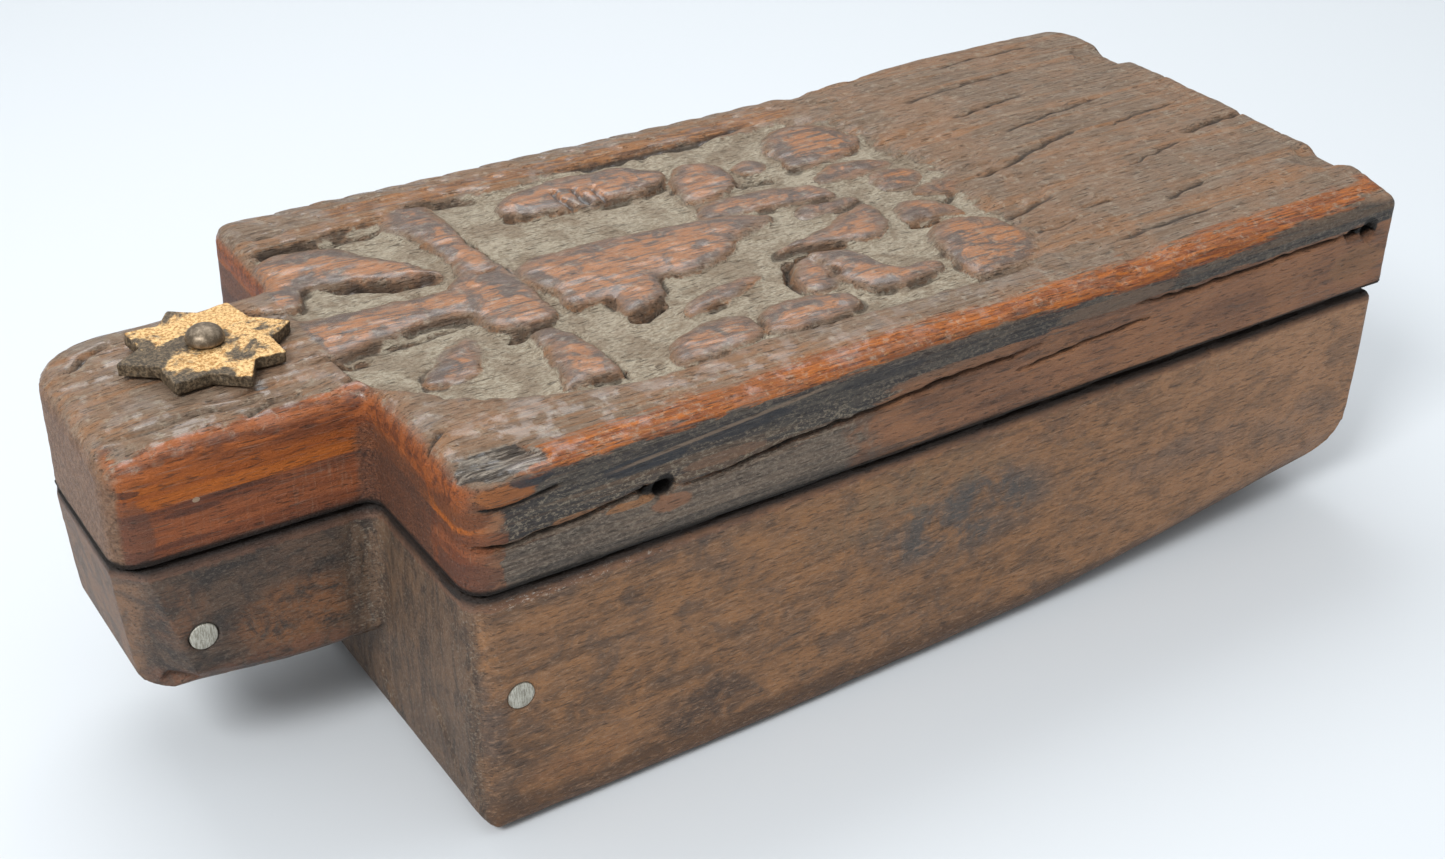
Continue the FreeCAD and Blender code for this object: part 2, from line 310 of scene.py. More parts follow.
# raised parts of the relief: level of the crown below the rim, edge width, outline
motifs = {
    "tongue": (0.2, 0.9, [(-112, -9), (-100, -9.5), (-90, -8), (-80, -5.5), (-73, -4), (-66, -6),
                          (-60, -6), (-60, 7), (-70, 8.5), (-78, 8), (-90, 8.5), (-97, 9.5), (-112, 13)]),
    "farBlade": (0.1, 0.7, [(-104, 14), (-97, 13.5), (-94, 16), (-92, 21), (-88, 21.5), (-82, 19.5),
                            (-76, 16), (-70, 15), (-62, 13), (-65, 19), (-70, 26), (-76, 34),
                            (-79, 38.5), (-84, 40.5), (-96, 40.5), (-104, 38)]),
    "farCrossBar": (0.3, 0.8, [(-61, 50), (-65, 44), (-65, 40), (-61.5, 33), (-60, 25), (-60, 18),
                               (-60, 10), (-51, 10), (-51, 30), (-51, 50)]),
    "boss": (0.0, 0.8, [(-67, 7), (-60, 13.5), (-50, 13.5), (-50, 6), (-50, -2), (-51, -8), (-51, -16),
                        (-56, -17), (-61, -15.5), (-66, -14), (-67, -8), (-66, 0)]),
    "nearCrossBar": (0.1, 0.7, [(-60, -18.2), (-56, -17.8), (-53, -18.5), (-52, -28), (-51.5, -36),
                                (-51.4, -43.5), (-58, -42), (-62, -43), (-66, -44), (-63.5, -38),
                                (-61.5, -30), (-60.5, -24)]),
    "nearBlade": (1.5, 2.0, [(-87, -23), (-78, -15), (-70, -13), (-70, -19), (-74, -27), (-80, -29),
                             (-88, -28)]),
    "farPod": (-0.5, 0.7, [(-40, 34.5), (-37, 40), (-31, 43.7), (-20, 45.5), (-8, 45), (0, 42), (4.5, 36),
                           (2, 31.5), (-3, 29), (-10, 28), (-22, 28.4), (-31, 28.6), (-37, 31)]),
    "stem": (-0.1, 0.8, [(-50, 8), (-44, 11), (-30, 12), (-15, 10.5), (-2, 10), (8, 7), (14, 3), (9, 0),
                         (2, -3), (-5, -9), (-12, -11.5), (-20, -12), (-25, -10.5), (-26.5, -17),
                         (-30, -20), (-35, -22.5), (-39.5, -23), (-38.3, -16), (-39, -13.7), (-44, -15),
                         (-49, -13), (-47, -7), (-49, -3), (-51, 2)]),
    "stemLeaf": (0.7, 1.0, [(-30, -29.5), (-26, -23), (-19, -19.5), (-10, -19), (-4.5, -20.5),
                            (-9, -23.8), (-17, -27.2)]),
    "nearLobe": (0.2, 0.8, [(-41.5, -46.5), (-40, -39), (-35, -34.5), (-27, -31.8), (-19.5, -33),
                            (-17.5, -38), (-19.5, -44.5), (-30, -45.4)]),
    "nearLobeSmall": (0.3, 0.9, [(-18.8, -45.4), (-17.8, -38), (-14, -34), (-6, -32.6), (3, -34.6),
                                 (7, -39.5), (5.5, -44.4), (-6, -45.8)]),
    "voluteLobe": (0.6, 0.8, [(-1.4, -33.6), (-0.8, -26), (3, -20.4), (7.4, -18), (9.4, -24), (9, -31),
                              (4, -35)]),
    "voluteRidge": (-0.2, 0.7, [(6.6, -18.2), (12, -17.2), (16.5, -20), (19.8, -27), (21, -32.6),
                                (28, -32.6), (32, -37), (24, -40), (14, -41), (7.6, -37), (8.4, -28)]),
    "voluteArc": (0.3, 0.9, [(1.4, -15.8), (8, -13.8), (18, -15.4), (27, -19), (33, -15), (37, -7),
                             (36.4, -1.2), (29, -1.6), (23, -7), (14, -9.6), (4, -11.6)]),
    "farBud": (-0.1, 0.8, [(0.4, 18), (0.6, 25), (3.6, 32), (8, 38), (14, 38.4), (18.6, 34), (19, 27),
                           (16, 22), (12, 20.2), (6, 17.2)]),
    "farBudSmall": (0.7, 1.0, [(19, 27.4), (21.6, 33), (26.8, 34), (29, 28.4), (24, 24.4)]),
    "underBud": (0.4, 1.0, [(-3, 9), (2.6, 17.6), (12, 18.6), (22, 17), (31.6, 12.4), (35, 5), (28, 5.4),
                            (20, 6.2), (10, 7.6), (2, 6.6)]),
    "midLeaf": (0.8, 1.1, [(16.4, -2.4), (19.4, 4.4), (27, 6), (36.6, 4), (37.6, -0.2), (28, -1.4)]),
    "farLeaf": (0.2, 1.1, [(30, 23), (32.6, 30), (32.6, 37), (37, 43), (44, 46.4), (51.6, 43), (56, 35),
                           (56, 27), (48, 22.2), (39, 21.2)]),
    "farLeafLow": (0.7, 1.2, [(31.6, 13.4), (35, 18.8), (43, 21), (52, 19.8), (58, 14.4), (50, 12),
                              (40, 12.4)]),
    "rightLeaf": (0.5, 1.0, [(42.4, 2.8), (44.4, 10.4), (50, 13.4), (58, 9.2), (56, 1.8), (49, -1)]),
    "rightLeafLow": (0.6, 1.2, [(47.6, -2.6), (54, 0.8), (63, 0.4), (67, -4), (60, -8), (52, -7)]),
    "nearPod": (-0.4, 0.9, [(32.6, -45.4), (34.6, -34), (36.6, -25), (40, -20.2), (46, -18.2), (53, -20.2),
                            (57, -27), (57.4, -36), (54, -43), (47, -46.4), (39, -47)]),
    "nearPodArc": (0.4, 0.9, [(34.4, -15.6), (40.6, -6.4), (46, -5), (51.6, -11), (52, -18.8),
                              (45, -16.2)]),
}

# cracks and chisel cuts in the top: depth, width and line
topCuts = [
    (2.0, 0.9, [(-87.5, 20.6), (-80, 18.6), (-75, 15.2), (-66, 14), (-63, 12)]),
    (2.0, 0.9, [(-96, 41.6), (-88, 42.9), (-82, 42.4), (-78, 39), (-76, 38)]),
    (1.6, 0.9, [(-80, 41), (-74, 42.4), (-68, 41.4), (-64, 42.6)]),
    (1.4, 0.7, [(-93, 49.6), (-88, 49), (-84, 49.7)]),
    (1.4, 0.9, [(-77, 7.6), (-73, 8.6), (-70, 10.6)]),
    (1.8, 0.7, [(-105, -8.6), (-99, -9.6), (-95, -11.6), (-90, -11.4)]),
    (1.5, 0.7, [(-101, -19), (-98, -18), (-96.5, -18.6)]),
    (1.4, 0.7, [(-92, -9), (-80, -8.4), (-72, -7), (-66, -6)]),
    (2.2, 0.9, [(-65, -18.4), (-60, -17.2), (-55, -17.6), (-52.5, -16)]),
    (1.4, 0.7, [(-88, -34.4), (-84, -36), (-79, -40)]),
    (1.4, 0.6, [(-99, -50), (-93.5, -46.5), (-91, -44.6)]),
    (2.2, 0.8, [(-40, -23), (-36, -23.6), (-28, -19.6)]),
    (1.6, 0.7, [(-42, -47.6), (-36, -47), (-28, -46)]),
    (2.4, 0.8, [(-1.8, -34), (-1.6, -26), (2.4, -19.4), (8.4, -16.2), (16.5, -16.4), (22, -19)]),
    (1.8, 0.7, [(-13, -46.2), (-6, -46.4), (1, -45.8), (5, -46.6)]),
    (1.6, 0.7, [(30, -46.6), (38, -47.4), (48, -46.8)]),
    (1.6, 0.8, [(-58, 48.4), (-50, 47.6), (-44, 47), (-38, 45.6)]),
    (1.2, 1.0, [(-20, 49.4), (0, 49), (22, 49), (42, 51)]),
    (1.2, 0.7, [(-50.6, 30), (-50.6, 14), (-50.2, 4)]),
    (1.2, 0.6, [(-50.8, -18), (-50.6, -34), (-50.8, -46)]),
    (1.6, 0.8, [(36, -16.6), (43, -18), (52, -19.4)]),
    (1.4, 0.8, [(50, -11), (55, -8.6), (58, -7)]),
    (1.8, 1.4, [(15, 22.4), (20, 23), (27, 21)]),
    (1.2, 0.8, [(-23.6, 28), (-25, 33), (-24.6, 38)]),
    (1.2, 0.8, [(-19.2, 28), (-20, 33), (-19.4, 37)]),
    (1.1, 0.8, [(-14.6, 27.6), (-15.6, 32), (-15, 37)]),
    (1.8, 0.9, [(63, -5.6), (72, -3.8), (80, -2.2), (88, 0.8), (96, 2.8), (108, 5.2)]),
    (1.6, 0.7, [(57, -25.4), (66, -23.6), (77, -21.4)]),
    (1.6, 0.8, [(76, -31), (80, -30), (85, -30.4)]),
    (1.4, 0.7, [(58, -35), (66, -34.2), (73, -34.6)]),
    (1.5, 0.8, [(81, 26.2), (88, 26.4), (96, 27.4), (110, 29.4)]),
    (1.3, 0.7, [(74, 40), (90, 41), (105, 42), (120, 43.6)]),
    (1.3, 0.7, [(95, -37.4), (101, -36), (112, -33.4)]),
    (1.1, 0.6, [(100, -19), (106, -17.2), (124, -13.6)]),
    (2.0, 0.9, [(124, -10.4), (136, -8.4), (144, -8), (151, -7.4)]),
    (1.1, 0.6, [(84, 12), (104, 14.6), (126, 17.4)]),
    (1.0, 0.6, [(96, 54), (116, 55.4), (134, 55)]),
    (1.2, 0.6, [(68, -48), (84, -46.6), (104, -45.6)]),
    (1.0, 0.5, [(110, 2), (126, 4.4), (140, 5)]),
    (1.6, 0.7, [(-144, 13), (-139, 17.6), (-133, 19.4)]),
    (1.5, 0.6, [(-146, -15.6), (-136, -15.8), (-127, -15.2), (-119, -16.2), (-113, -15)]),
    (1.6, 0.6, [(-121, -20.4), (-115, -17.8), (-108, -18.6)]),
    (1.1, 0.5, [(-127, -12.4), (-118, -12.8), (-110, -11.6)]),
    (1.2, 0.6, [(-110, 6), (-104, 8.6), (-99, 12.8)]),
    (1.6, 0.8, [(-108, 20), (-103, 15.4), (-98, 13)]),
]

# cracks in the near edge of the lid, in x and z: depth, width and line
sideCracks = [
    (2.6, 0.5, [(-98, 68.6), (-94, 67.5), (-90, 67.1), (-80, 67.4), (-70, 68.2), (-62, 69.4), (-57, 69.6)]),
    (2.8, 1.1, [(-62, 69.2), (-59, 68.6), (-56, 68.8), (-53, 68)]),
    (2.6, 0.5, [(-55, 68.6), (-49, 67.4), (-45, 67.4), (-37, 68.1), (-28, 69), (-20, 69.4), (-5, 69.8),
                (10, 71), (17, 71.3), (30, 71.6), (41, 72.4)]),
    (1.6, 0.4, [(31, 67.4), (40, 68.2), (50, 69), (60, 69.5), (72, 70.1)]),
    (2.2, 0.45, [(64, 74.6), (75, 73.9), (85, 73.3), (95, 73.6), (110, 73.9), (125, 74.1), (137, 74.3)]),
    (2.8, 1.0, [(132, 73.8), (138, 73.8), (142, 74.6)]),
    (1.0, 0.45, [(-97, 76.4), (-90, 75.6), (-82, 76.2), (-76, 77)]),
]
pegHoles = [(-56.0, 69.1), (140.5, 74.5)]
# notches in the far end: place, half length, half width and depth
scoops = [(146.0, 40.5, 11.0, 8.5, 2.0), (146.0, -37.5, 10.5, 8.0, 1.9)]
# splintered patch at the near shoulder corner
splinterPatch = [(-97, -58), (-93, -54), (-84, -55), (-77, -60), (-80, -63.5), (-90, -64.5), (-98, -62)]

def sampleOutline(corners, steps=6):
    # the rounded outline as points, for measuring distances from it
    points = []
    count = len(corners)
    for index, (x, y, radius) in enumerate(corners):
        corner = Vector((x, y))
        toBefore = (Vector(corners[index - 1][:2]) - corner).normalized()
        toAfter = (Vector(corners[(index + 1) % count][:2]) - corner).normalized()
        half = toBefore.angle(toAfter) / 2
        start = corner + toBefore * radius / math.tan(half)
        end = corner + toAfter * radius / math.tan(half)
        for step in range(steps + 1):
            t = step / steps
            points.append(start * (1 - t) ** 2 + corner * 2 * t * (1 - t) + end * t ** 2)
    return np.array([tuple(p) for p in points])


lidOutline = sampleOutline(paddleCorners(lidHigh.x))
baseOutline = sampleOutline(paddleCorners(baseHigh.x))


def carvedTop(x, y):
    # height of the worn top and what each point of it is, from the place seen from above
    warpX = x + 0.8 * swell(x, y, 6, 6, 11) + 0.3 * swell(x, y, 2, 2, 12)
    warpY = y + 0.8 * swell(x, y, 6, 6, 13) + 0.3 * swell(x, y, 2, 2, 14)
    inside = -loopDistance(x, y, lidOutline)
    height = np.full(x.shape, lidHigh.z)
    height += lid["rise"] * smoothStep(52, 104, x) * (0.35 + 0.65 * smoothStep(-55, 25, y))
    # slow dips from wear, and a near rim that falls outwards
    height += 0.4 * swell(x, y, 34, 20, 21) * smoothStep(0, 8, inside)
    height -= 0.7 * smoothStep(-46, -60, y) + 0.4 * smoothStep(54, 64, y)
    # the neck falls away towards its end and its near edge
    neck = smoothStep(-98, -112, x)
    height -= neck * (0.5 + 1.3 * smoothStep(-132, -151, x) + 0.9 * smoothStep(-8, -25, y))
    edge = 1.2 + 5.5 * smoothStep(44, 60, x) + 1.2 * smoothStep(-38, -46, y)
    edge += 2.6 * smoothStep(40, 46, y) * smoothStep(-56, -40, x)
    field = smoothStep(0.5, -1.0, loopDistance(warpX, warpY, roundLoop(lid["field"]), 14) / edge)
    fade = smoothStep(-60, 50, x)
    depth = lid["floor"][0] * (1 - fade) + lid["floor"][1] * fade
    level = -depth + 0.3 * swell(x, y, 8, 5, 31, 2)
    raised = np.zeros_like(x)
    core = np.zeros_like(x)
    foot = np.zeros_like(x)
    nearWall = np.zeros_like(x)
    for crown, width, outline in motifs.values():
        loop = roundLoop(outline)
        gap = loopDistance(warpX, warpY, loop, 7)
        # the far side of each raised part slopes away, its near side was cut down steeply
        away = smoothStep(-3, 7, warpY - loop[:, 1].mean())
        reach = width * (0.7 + 1.8 * away)
        wall = smoothStep(reach * 0.6, -reach * 0.6, gap)
        crest = 1.0 - np.exp(np.minimum(gap, 0.0) / (2.2 + 1.6 * away))
        tall = (depth - crown + 0.35) * wall * (0.58 + 0.42 * crest)
        level = np.maximum(level, -depth + tall)
        raised = np.maximum(raised, wall)
        core = np.maximum(core, crest * wall)
        foot = np.maximum(foot, np.exp(-np.maximum(gap, 0.0) / 1.6) * (gap < 6))
        nearWall = np.maximum(nearWall, np.exp(-((gap - 0.2) / 0.9) ** 2) * (1 - away))
    ground = field * (1 - raised)
    level += ground * 0.45 * foot
    # knife facets on the raised parts
    level += raised * 0.3 * swell(x, y, 5.0, 2.2, 33, 3)
    # splits under the near edges of the raised parts
    split = smoothStep(0.0, 0.35, swell(x, y, 7, 7, 35, 2))
    level -= 0.9 * nearWall * split
    height += field * level
    # chipped ground where the carving fades into the plain half
    chips = swell(x, y, 8, 3.0, 41, 2)
    height -= smoothStep(52, 60, x) * smoothStep(92, 72, x) * 1.0 * smoothStep(-0.1, 0.6, chips)
    # long shallow furrows along the grain
    furrows = swell(x, y, 34, 2.2, 43, 2)
    height -= 0.4 * smoothStep(0.1, 0.75, furrows) * smoothStep(56, 84, x)
    height -= 0.35 * smoothStep(0.15, 0.8, furrows) * smoothStep(-92, -104, x)
    # slanting knife facets along the far rim
    rim = smoothStep(50.5, 53.5, y) * smoothStep(-96, -80, x) * smoothStep(96, 60, x)
    facets = (x + y * 0.9 + 2.0 * swell(x, y, 16, 8, 45)) / 9.0
    height -= rim * (0.3 + 0.8 * np.abs(facets - np.floor(facets) - 0.35) ** 1.5)
    # notches gouged in the far end
    for cx, cy, rx, ry, down in scoops:
        bowl = ((x - cx) / rx) ** 2 + ((y - cy) / ry) ** 2
        height -= down * smoothStep(1.0, 0.15, bowl + 0.25 * swell(x, y, 3, 3, 47))
    cuts = np.zeros_like(x)
    cutX = x + 0.5 * swell(x, y, 3, 3, 51)
    cutY = y + 0.5 * swell(x, y, 3, 3, 52)
    for down, width, line in topCuts:
        mark = lineMark(cutX, cutY, line, width)
        height -= down * mark * (0.65 if line[0][0] > 56 else 1.0)
        cuts = np.maximum(cuts, mark)
    splinter = smoothStep(0.8, -1.5, loopDistance(warpX, warpY, roundLoop(splinterPatch), 8))
    height -= splinter * (0.8 + 0.9 * swell(x, y, 12, 0.9, 55, 2))
    # fine unevenness everywhere
    height += 0.12 * swell(x, y, 3.2, 1.5, 57, 2)
    height += 0.16 * swell(x, y, 1.6, 1.4, 58) * ground
    # thumb-worn scar on the near corner of the neck's end
    scar = ((x + 147) / 9) ** 2 + ((y + 22) / 6) ** 2
    height -= 1.4 * smoothStep(1.0, 0.2, scar)
    return height, inside, field, raised, core, cuts, splinter, nearWall * split * field


def arrisDrop(x, y, inside):
    # how much the worn edges bring the top down, each side with its own rounding
    onNeck = x < paddle["shoulderX"] + 2
    scale = 1.0 + 0.25 * swell(x, y, 18, 18, 61) + 0.12 * swell(x, y, 5, 5, 62)
    across, down = lid["farArris"]
    across = np.full(x.shape, across)
    down = np.full(x.shape, down)
    atEnd = (x > 143) & (np.abs(y) < 56)
    for pick, side in (((y < -40) & ~onNeck, "nearArris"), (atEnd, "endArris"), (onNeck, "neckArris")):
        across = np.where(pick, lid[side][0], across)
        down = np.where(pick, lid[side][1], down)
    across = across * scale
    reach = np.clip(inside, 0.0, None)
    curve = np.clip((across - reach) / across, 0.0, 0.9995)
    drop = down * (1.0 - np.sqrt(1.0 - curve ** 2))
    corner = smoothStep(16, 2, np.hypot(x - lidHigh.x, y - paddle["nearAtFarEnd"]))
    return drop + 1.8 * corner * smoothStep(9, 0, reach)


def sculptLid(piece):
    points = readPoints(piece)
    x, y, z = points.T
    height, inside, *_ = carvedTop(x, y)
    drop = arrisDrop(x, y, inside)
    share = np.clip((z - lidLow.z) / (lidHigh.z - lidLow.z), 0.0, 1.0)
    # the underside lifts a little towards the far end, which opens the joint there
    low = lidLow.z + 0.25 + 0.5 * smoothStep(-60, 140, x)
    newZ = low + share * (height - drop - low)
    # walls: slow waves, cracks and the lips of the peg holes, pushed straight in
    wall = smoothStep(1.4, 0.5, inside) * smoothStep(0.0, 0.02, share)
    push = 0.25 + 0.25 * waver(x / 30, y / 30, newZ / 16, 63)
    push += 0.08 * waver(x / 6, y / 6, newZ / 1.3, 64, 2)
    push += 0.4 * smoothStep(low + 0.9, low, newZ) ** 2
    nearSide = wall * smoothStep(-50, -55, y)
    wander = 0.35 * swell(x, newZ, 3.0, 2.0, 65)
    for depth, width, line in sideCracks:
        push += nearSide * depth * lineMark(x, newZ + wander, line, width)
    normals = readNormals(piece)
    flat = np.hypot(normals[:, 0], normals[:, 1]) + 1e-6
    newX = x - wall * push * normals[:, 0] / flat
    newY = y - wall * push * normals[:, 1] / flat
    writePoints(piece, np.stack([newX, newY, newZ], 1))


def lidMasks(piece):
    x, y, z = readPoints(piece).T
    normals = readNormals(piece)
    inside, field, raised, core, cuts, splinter, nearWall = carvedTop(x, y)[1:]
    onTop = smoothStep(lidLow.z + 16, lidLow.z + 19.5, z) * smoothStep(-0.3, 0.1, normals[:, 2])
    onTop *= smoothStep(0.3, 1.4, inside)
    wander = 0.35 * swell(x, z, 3.0, 2.0, 65)
    crack = np.zeros_like(x)
    for _, width, line in sideCracks:
        crack = np.maximum(crack, lineMark(x, z + wander, line, width * 1.15))
    crack *= smoothStep(-50, -55, y) * (inside < 4) * (z < 79)
    for holeX, holeZ in pegHoles:
        crack = np.maximum(crack, smoothStep(3.2, 2.2, np.hypot(x - holeX, z - holeZ)) * (y < -50))
    steep = smoothStep(0.9, 0.55, normals[:, 2]) * onTop * (inside > 3.0)
    return {
        "onTop": onTop,
        "ground": field * (1 - raised) * onTop * smoothStep(0.5, 0.85, normals[:, 2]),
        "core": core * field * onTop,
        "inside": inside / 20.0,
        "crack": crack,
        "cuts": cuts * onTop,
        # painted shade on the top's steep walls that face the near side, and in the splits under the raised
        # parts' near edges
        "creviceShade": np.maximum(0.6 * steep * smoothStep(-0.1, 0.45, -normals[:, 1]), nearWall * onTop),
        "splinter": splinter * onTop,
        "underside": smoothStep(-0.6, -0.9, normals[:, 2]),
        # painted shade along the lid's bottom edge, where it meets the base
        "lowEdgeShade": smoothStep(lidLow.z + 1.5, lidLow.z + 0.9, z) * smoothStep(5.0, 3.0, inside),
    }


def pivotBore(radius, low, high):
    return ("DIFFERENCE", rod("bore", radius, (pivotX, pivotY, low), (pivotX, pivotY, high)))


def buildLid():
    piece = prism("lidPlank", paddleCorners(lidHigh.x), lidLow.z, lidHigh.z)
    cutters = [pivotBore(lid["bore"], lidLow.z - 5, lidHigh.z + 5)]
    for holeX, holeZ in pegHoles:
        wallY = float(nearWallY(np.array(holeX)))
        outer = (holeX, wallY - 4, holeZ)
        inner = (holeX, wallY + lid["pegDepth"], holeZ)
        cutters.append(("DIFFERENCE", rod("peg", lid["pegRadius"], outer, inner, 16)))
    combine(piece, cutters)
    remesh(piece, lid["cell"])
    sculptLid(piece)
    thin(piece, lid["triangles"])
    writeMasks(piece, lidMasks(piece))
    print("lid carved:", len(piece.data.vertices), "vertices")
    return declare(piece, "lid", "lid_plank")


base = {
    "cell": 0.85,
    "triangles": 190000,
    "neckUnderside": 25.5,
    "neckRake": 4.0,
    "flatEnd": 45.0,         # where the underside starts to rise towards the far end
    "farRise": 5.0,
    "farLean": 2.5,
    "hollow": (-76.0, 134.0, -47.0, 51.0),
    "hollowFloor": 12.0,
    "hollowCorner": 9.0,
    "bore": 2.8,
    "topWear": 1.6,          # rounding of the edge under the lid
}


def insideHollow(x, y, margin):
    x0, x1, y0, y1 = base["hollow"]
    return (x > x0 - margin) & (x < x1 + margin) & (y > y0 - margin) & (y < y1 + margin)


def innerCornerGap(x, y):
    # distance from the nearer of the two corners between neck and shoulder
    off = np.minimum(np.abs(y - paddle["neckNear"]), np.abs(y - paddle["neckFar"]))
    return np.hypot(x - paddle["shoulderX"], off)


def buildBase():
    neckZ = base["neckUnderside"]
    p = paddle
    piece = prism("baseBlock", paddleCorners(baseHigh.x), 0, baseHigh.z)
    side = prism("side", [
        (lidLow.x + base["neckRake"], neckZ, 3.0),
        (p["shoulderX"], neckZ, 1.8),
        (p["shoulderX"], 0.0, 9.0),
        (base["flatEnd"], 0.0, 60.0),
        (baseHigh.x - base["farLean"], base["farRise"], 26.0),
        (baseHigh.x, baseHigh.z, 0.01),
        (lidLow.x, baseHigh.z, 0.01),
    ], -80, 80, across=True)
    x0, x1, y0, y1 = base["hollow"]
    corners = [(x, y, base["hollowCorner"]) for x, y in ((x0, y0), (x1, y0), (x1, y1), (x0, y1))]
    hollow = prism("hollow", corners, base["hollowFloor"], baseHigh.z + 5)
    cutters = [("INTERSECT", side), ("DIFFERENCE", hollow), pivotBore(base["bore"], 20, 60)]
    for node in ("neck_cross_rod", "shoulder_cross_rod"):
        low, high = boxOf(node)
        rodX, rodZ, radius = (low.x + high.x) / 2, (low.z + high.z) / 2, (high.z - low.z) / 2
        cutters.append(("DIFFERENCE", rod("hole", radius, (rodX, -80, rodZ), (rodX, 80, rodZ))))
    combine(piece, cutters)
    remesh(piece, base["cell"])
    sculptBase(piece)
    thin(piece, base["triangles"])
    writeMasks(piece, baseMasks(piece))
    print("base carved:", len(piece.data.vertices), "vertices")
    return declare(piece, "base", "base_block")


def roundEdge(first, second, radius):
    # first and second are depths inside two walls; gives how far to move each to round their edge
    reachA = np.clip(radius - first, 0.0, None)
    reachB = np.clip(radius - second, 0.0, None)
    both = np.hypot(reachA, reachB)
    over = np.clip(both - radius, 0.0, None)
    share = over / np.maximum(both, 1e-6)
    return reachA * share, reachB * share


def topSink(x):
    # how far the top has worn down
    return 0.35 + 0.75 * smoothStep(-60, 120, x)


def sculptBase(piece):
    points = readPoints(piece)
    normals = readNormals(piece)
    x, y, z = points.T
    inside = -loopDistance(x, y, baseOutline)
    floor = base["hollowFloor"]
    inHollow = insideHollow(x, y, 0.6) & (z > floor - 0.6)
    outer = np.where(inHollow, 0.0, 1.0)
    body = smoothStep(paddle["shoulderX"] - 0.5, paddle["shoulderX"] + 0.5, x)
    newX, newY, newZ = x.copy(), y.copy(), z.copy()
    # long bottom edges, rounder towards the far end
    rising = (x - base["flatEnd"]) / (baseHigh.x - base["farLean"] - base["flatEnd"])
    bottom = base["farRise"] * np.clip(rising, 0, 1)
    radius = 4.2 + 3.5 * smoothStep(-20, 55, x) + 7.5 * smoothStep(45, 130, x) + 3.0 * smoothStep(110, 146, x)
    for sideSign, wallY in ((-1, nearWallY(x)), (1, 64.0 + 1.5 * (x + 98) / 245)):
        gap = (y - wallY) if sideSign < 0 else (wallY - y)
        moveY, moveZ = roundEdge(np.clip(gap, 0, None), np.clip(z - bottom, 0, None), radius)
        newY -= sideSign * moveY * body * outer
        newZ += moveZ * body * outer
    # chamfered bottom edges and slanting near corner of the neck
    neck = (1 - body) * outer
    neckZ = base["neckUnderside"]
    chamfer = 2.0 + 3.0 * smoothStep(-112, -142, x)
    for sideSign, wallY in ((-1, paddle["neckNear"]), (1, paddle["neckFar"])):
        gap = (y - wallY) if sideSign < 0 else (wallY - y)
        over = np.clip(chamfer - gap - (z - neckZ), 0, None) / 2
        newY -= sideSign * over * neck
        newZ += over * neck
    facet = 5.5 + 4.5 * (baseHigh.z - z) / (baseHigh.z - neckZ)
    endX = lidLow.x + base["neckRake"] * (baseHigh.z - z) / (baseHigh.z - neckZ)
    over = np.clip(facet - (x - endX) - (y - paddle["neckNear"]), 0, None) / 2
    newX += over * neck
    newY += over * neck
    # slow waves left by the plane, and a worn, slightly rounded top edge
    wall = smoothStep(1.4, 0.5, inside) * outer
    push = 0.12 + 0.3 * waver(x / 42, y / 42, z / 26, 71) + 0.09 * waver(x / 9, y / 9, z / 6, 72, 2)
    wear = base["topWear"] * (0.75 + 0.5 * smoothStep(-20, 120, x))
    climb = np.clip((z - baseHigh.z + wear) / wear, 0.0, 1.0)
    push += wear * (1.0 - np.sqrt(1.0 - climb ** 2 * 0.98))
    chipped = smoothStep(0.3, 0.75, swell(x, y, 5, 5, 73, 2))
    push += 0.9 * chipped * smoothStep(baseHigh.z - 2.4, baseHigh.z - 0.2, z)
    # chisel marks run down the walls of the inner corners
    chiselled = 0.25 + 0.5 * waver((x + y) / 1.6, (x - y) / 1.6, z / 22, 74, 2)
    push += smoothStep(9, 3, innerCornerGap(x, y)) * chiselled
    flat = np.hypot(normals[:, 0], normals[:, 1]) + 1e-6
    newX -= wall * push * normals[:, 0] / flat
    newY -= wall * push * normals[:, 1] / flat
    # the top has worn down, most at the far end, so a dark joint shows under the lid
    newZ -= topSink(x) * smoothStep(baseHigh.z - 9, baseHigh.z - 1, z)
    # gouge marks in the hollow
    wallIn = np.where(inHollow & (z > floor + 2), 1.0, 0.0) * smoothStep(0.5, 0.85, flat)
    scallop = 0.45 * np.abs(waver((x + y) / 8, (x - y) / 8, z / 34, 75))
    scallop += 0.12 * waver(x / 3, y / 3, z / 9, 76)
    newX -= wallIn * scallop * normals[:, 0]
    newY -= wallIn * scallop * normals[:, 1]
    floorIn = np.where(inHollow, 1.0, 0.0) * smoothStep(floor + 2, floor + 0.4, z)
    newZ += floorIn * (0.7 * np.abs(swell(x, y, 26, 7, 77)) + 0.15 * swell(x, y, 5, 3, 78))
    # dips along the underside's edge, where it is bruised
    under = smoothStep(3.0, 0.2, z - bottom) * outer * body
    bruise = smoothStep(0.35, 0.8, swell(x, y, 16, 14, 79, 2))
    newZ += under * bruise * 0.8 * smoothStep(16, 4, inside)
    writePoints(piece, np.stack([newX, newY, newZ], 1))


def baseMasks(piece):
    x, y, z = readPoints(piece).T
    normals = readNormals(piece)
    inside = -loopDistance(x, y, baseOutline)
    inHollow = np.where(insideHollow(x, y, 1.2) & (z > base["hollowFloor"] - 1), 1.0, 0.0)
    underLid = smoothStep(-1.7, -0.9, z - baseHigh.z + topSink(x))
    return {
        "hollow": inHollow,
        "innerCorner": smoothStep(11, 3, innerCornerGap(x, y)) * (1 - inHollow),
        "topEdge": smoothStep(baseHigh.z - 4.0, baseHigh.z - 1.8, z) * smoothStep(4.0, 1.6, inside),
        # painted shadow in the joint under the lid
        "jointShade": underLid * smoothStep(5.0, 3.5, inside) * (1 - inHollow),
        "shoulderWall": smoothStep(0.5, 0.85, -normals[:, 0]) * smoothStep(-104, -99.5, x) * (x < -90),
        "neck": smoothStep(-98.5, -101, x),
        # faces turned down; the material paints them as shade
        "under": smoothStep(-0.45, -0.9, normals[:, 2]) * (1 - inHollow),
    }


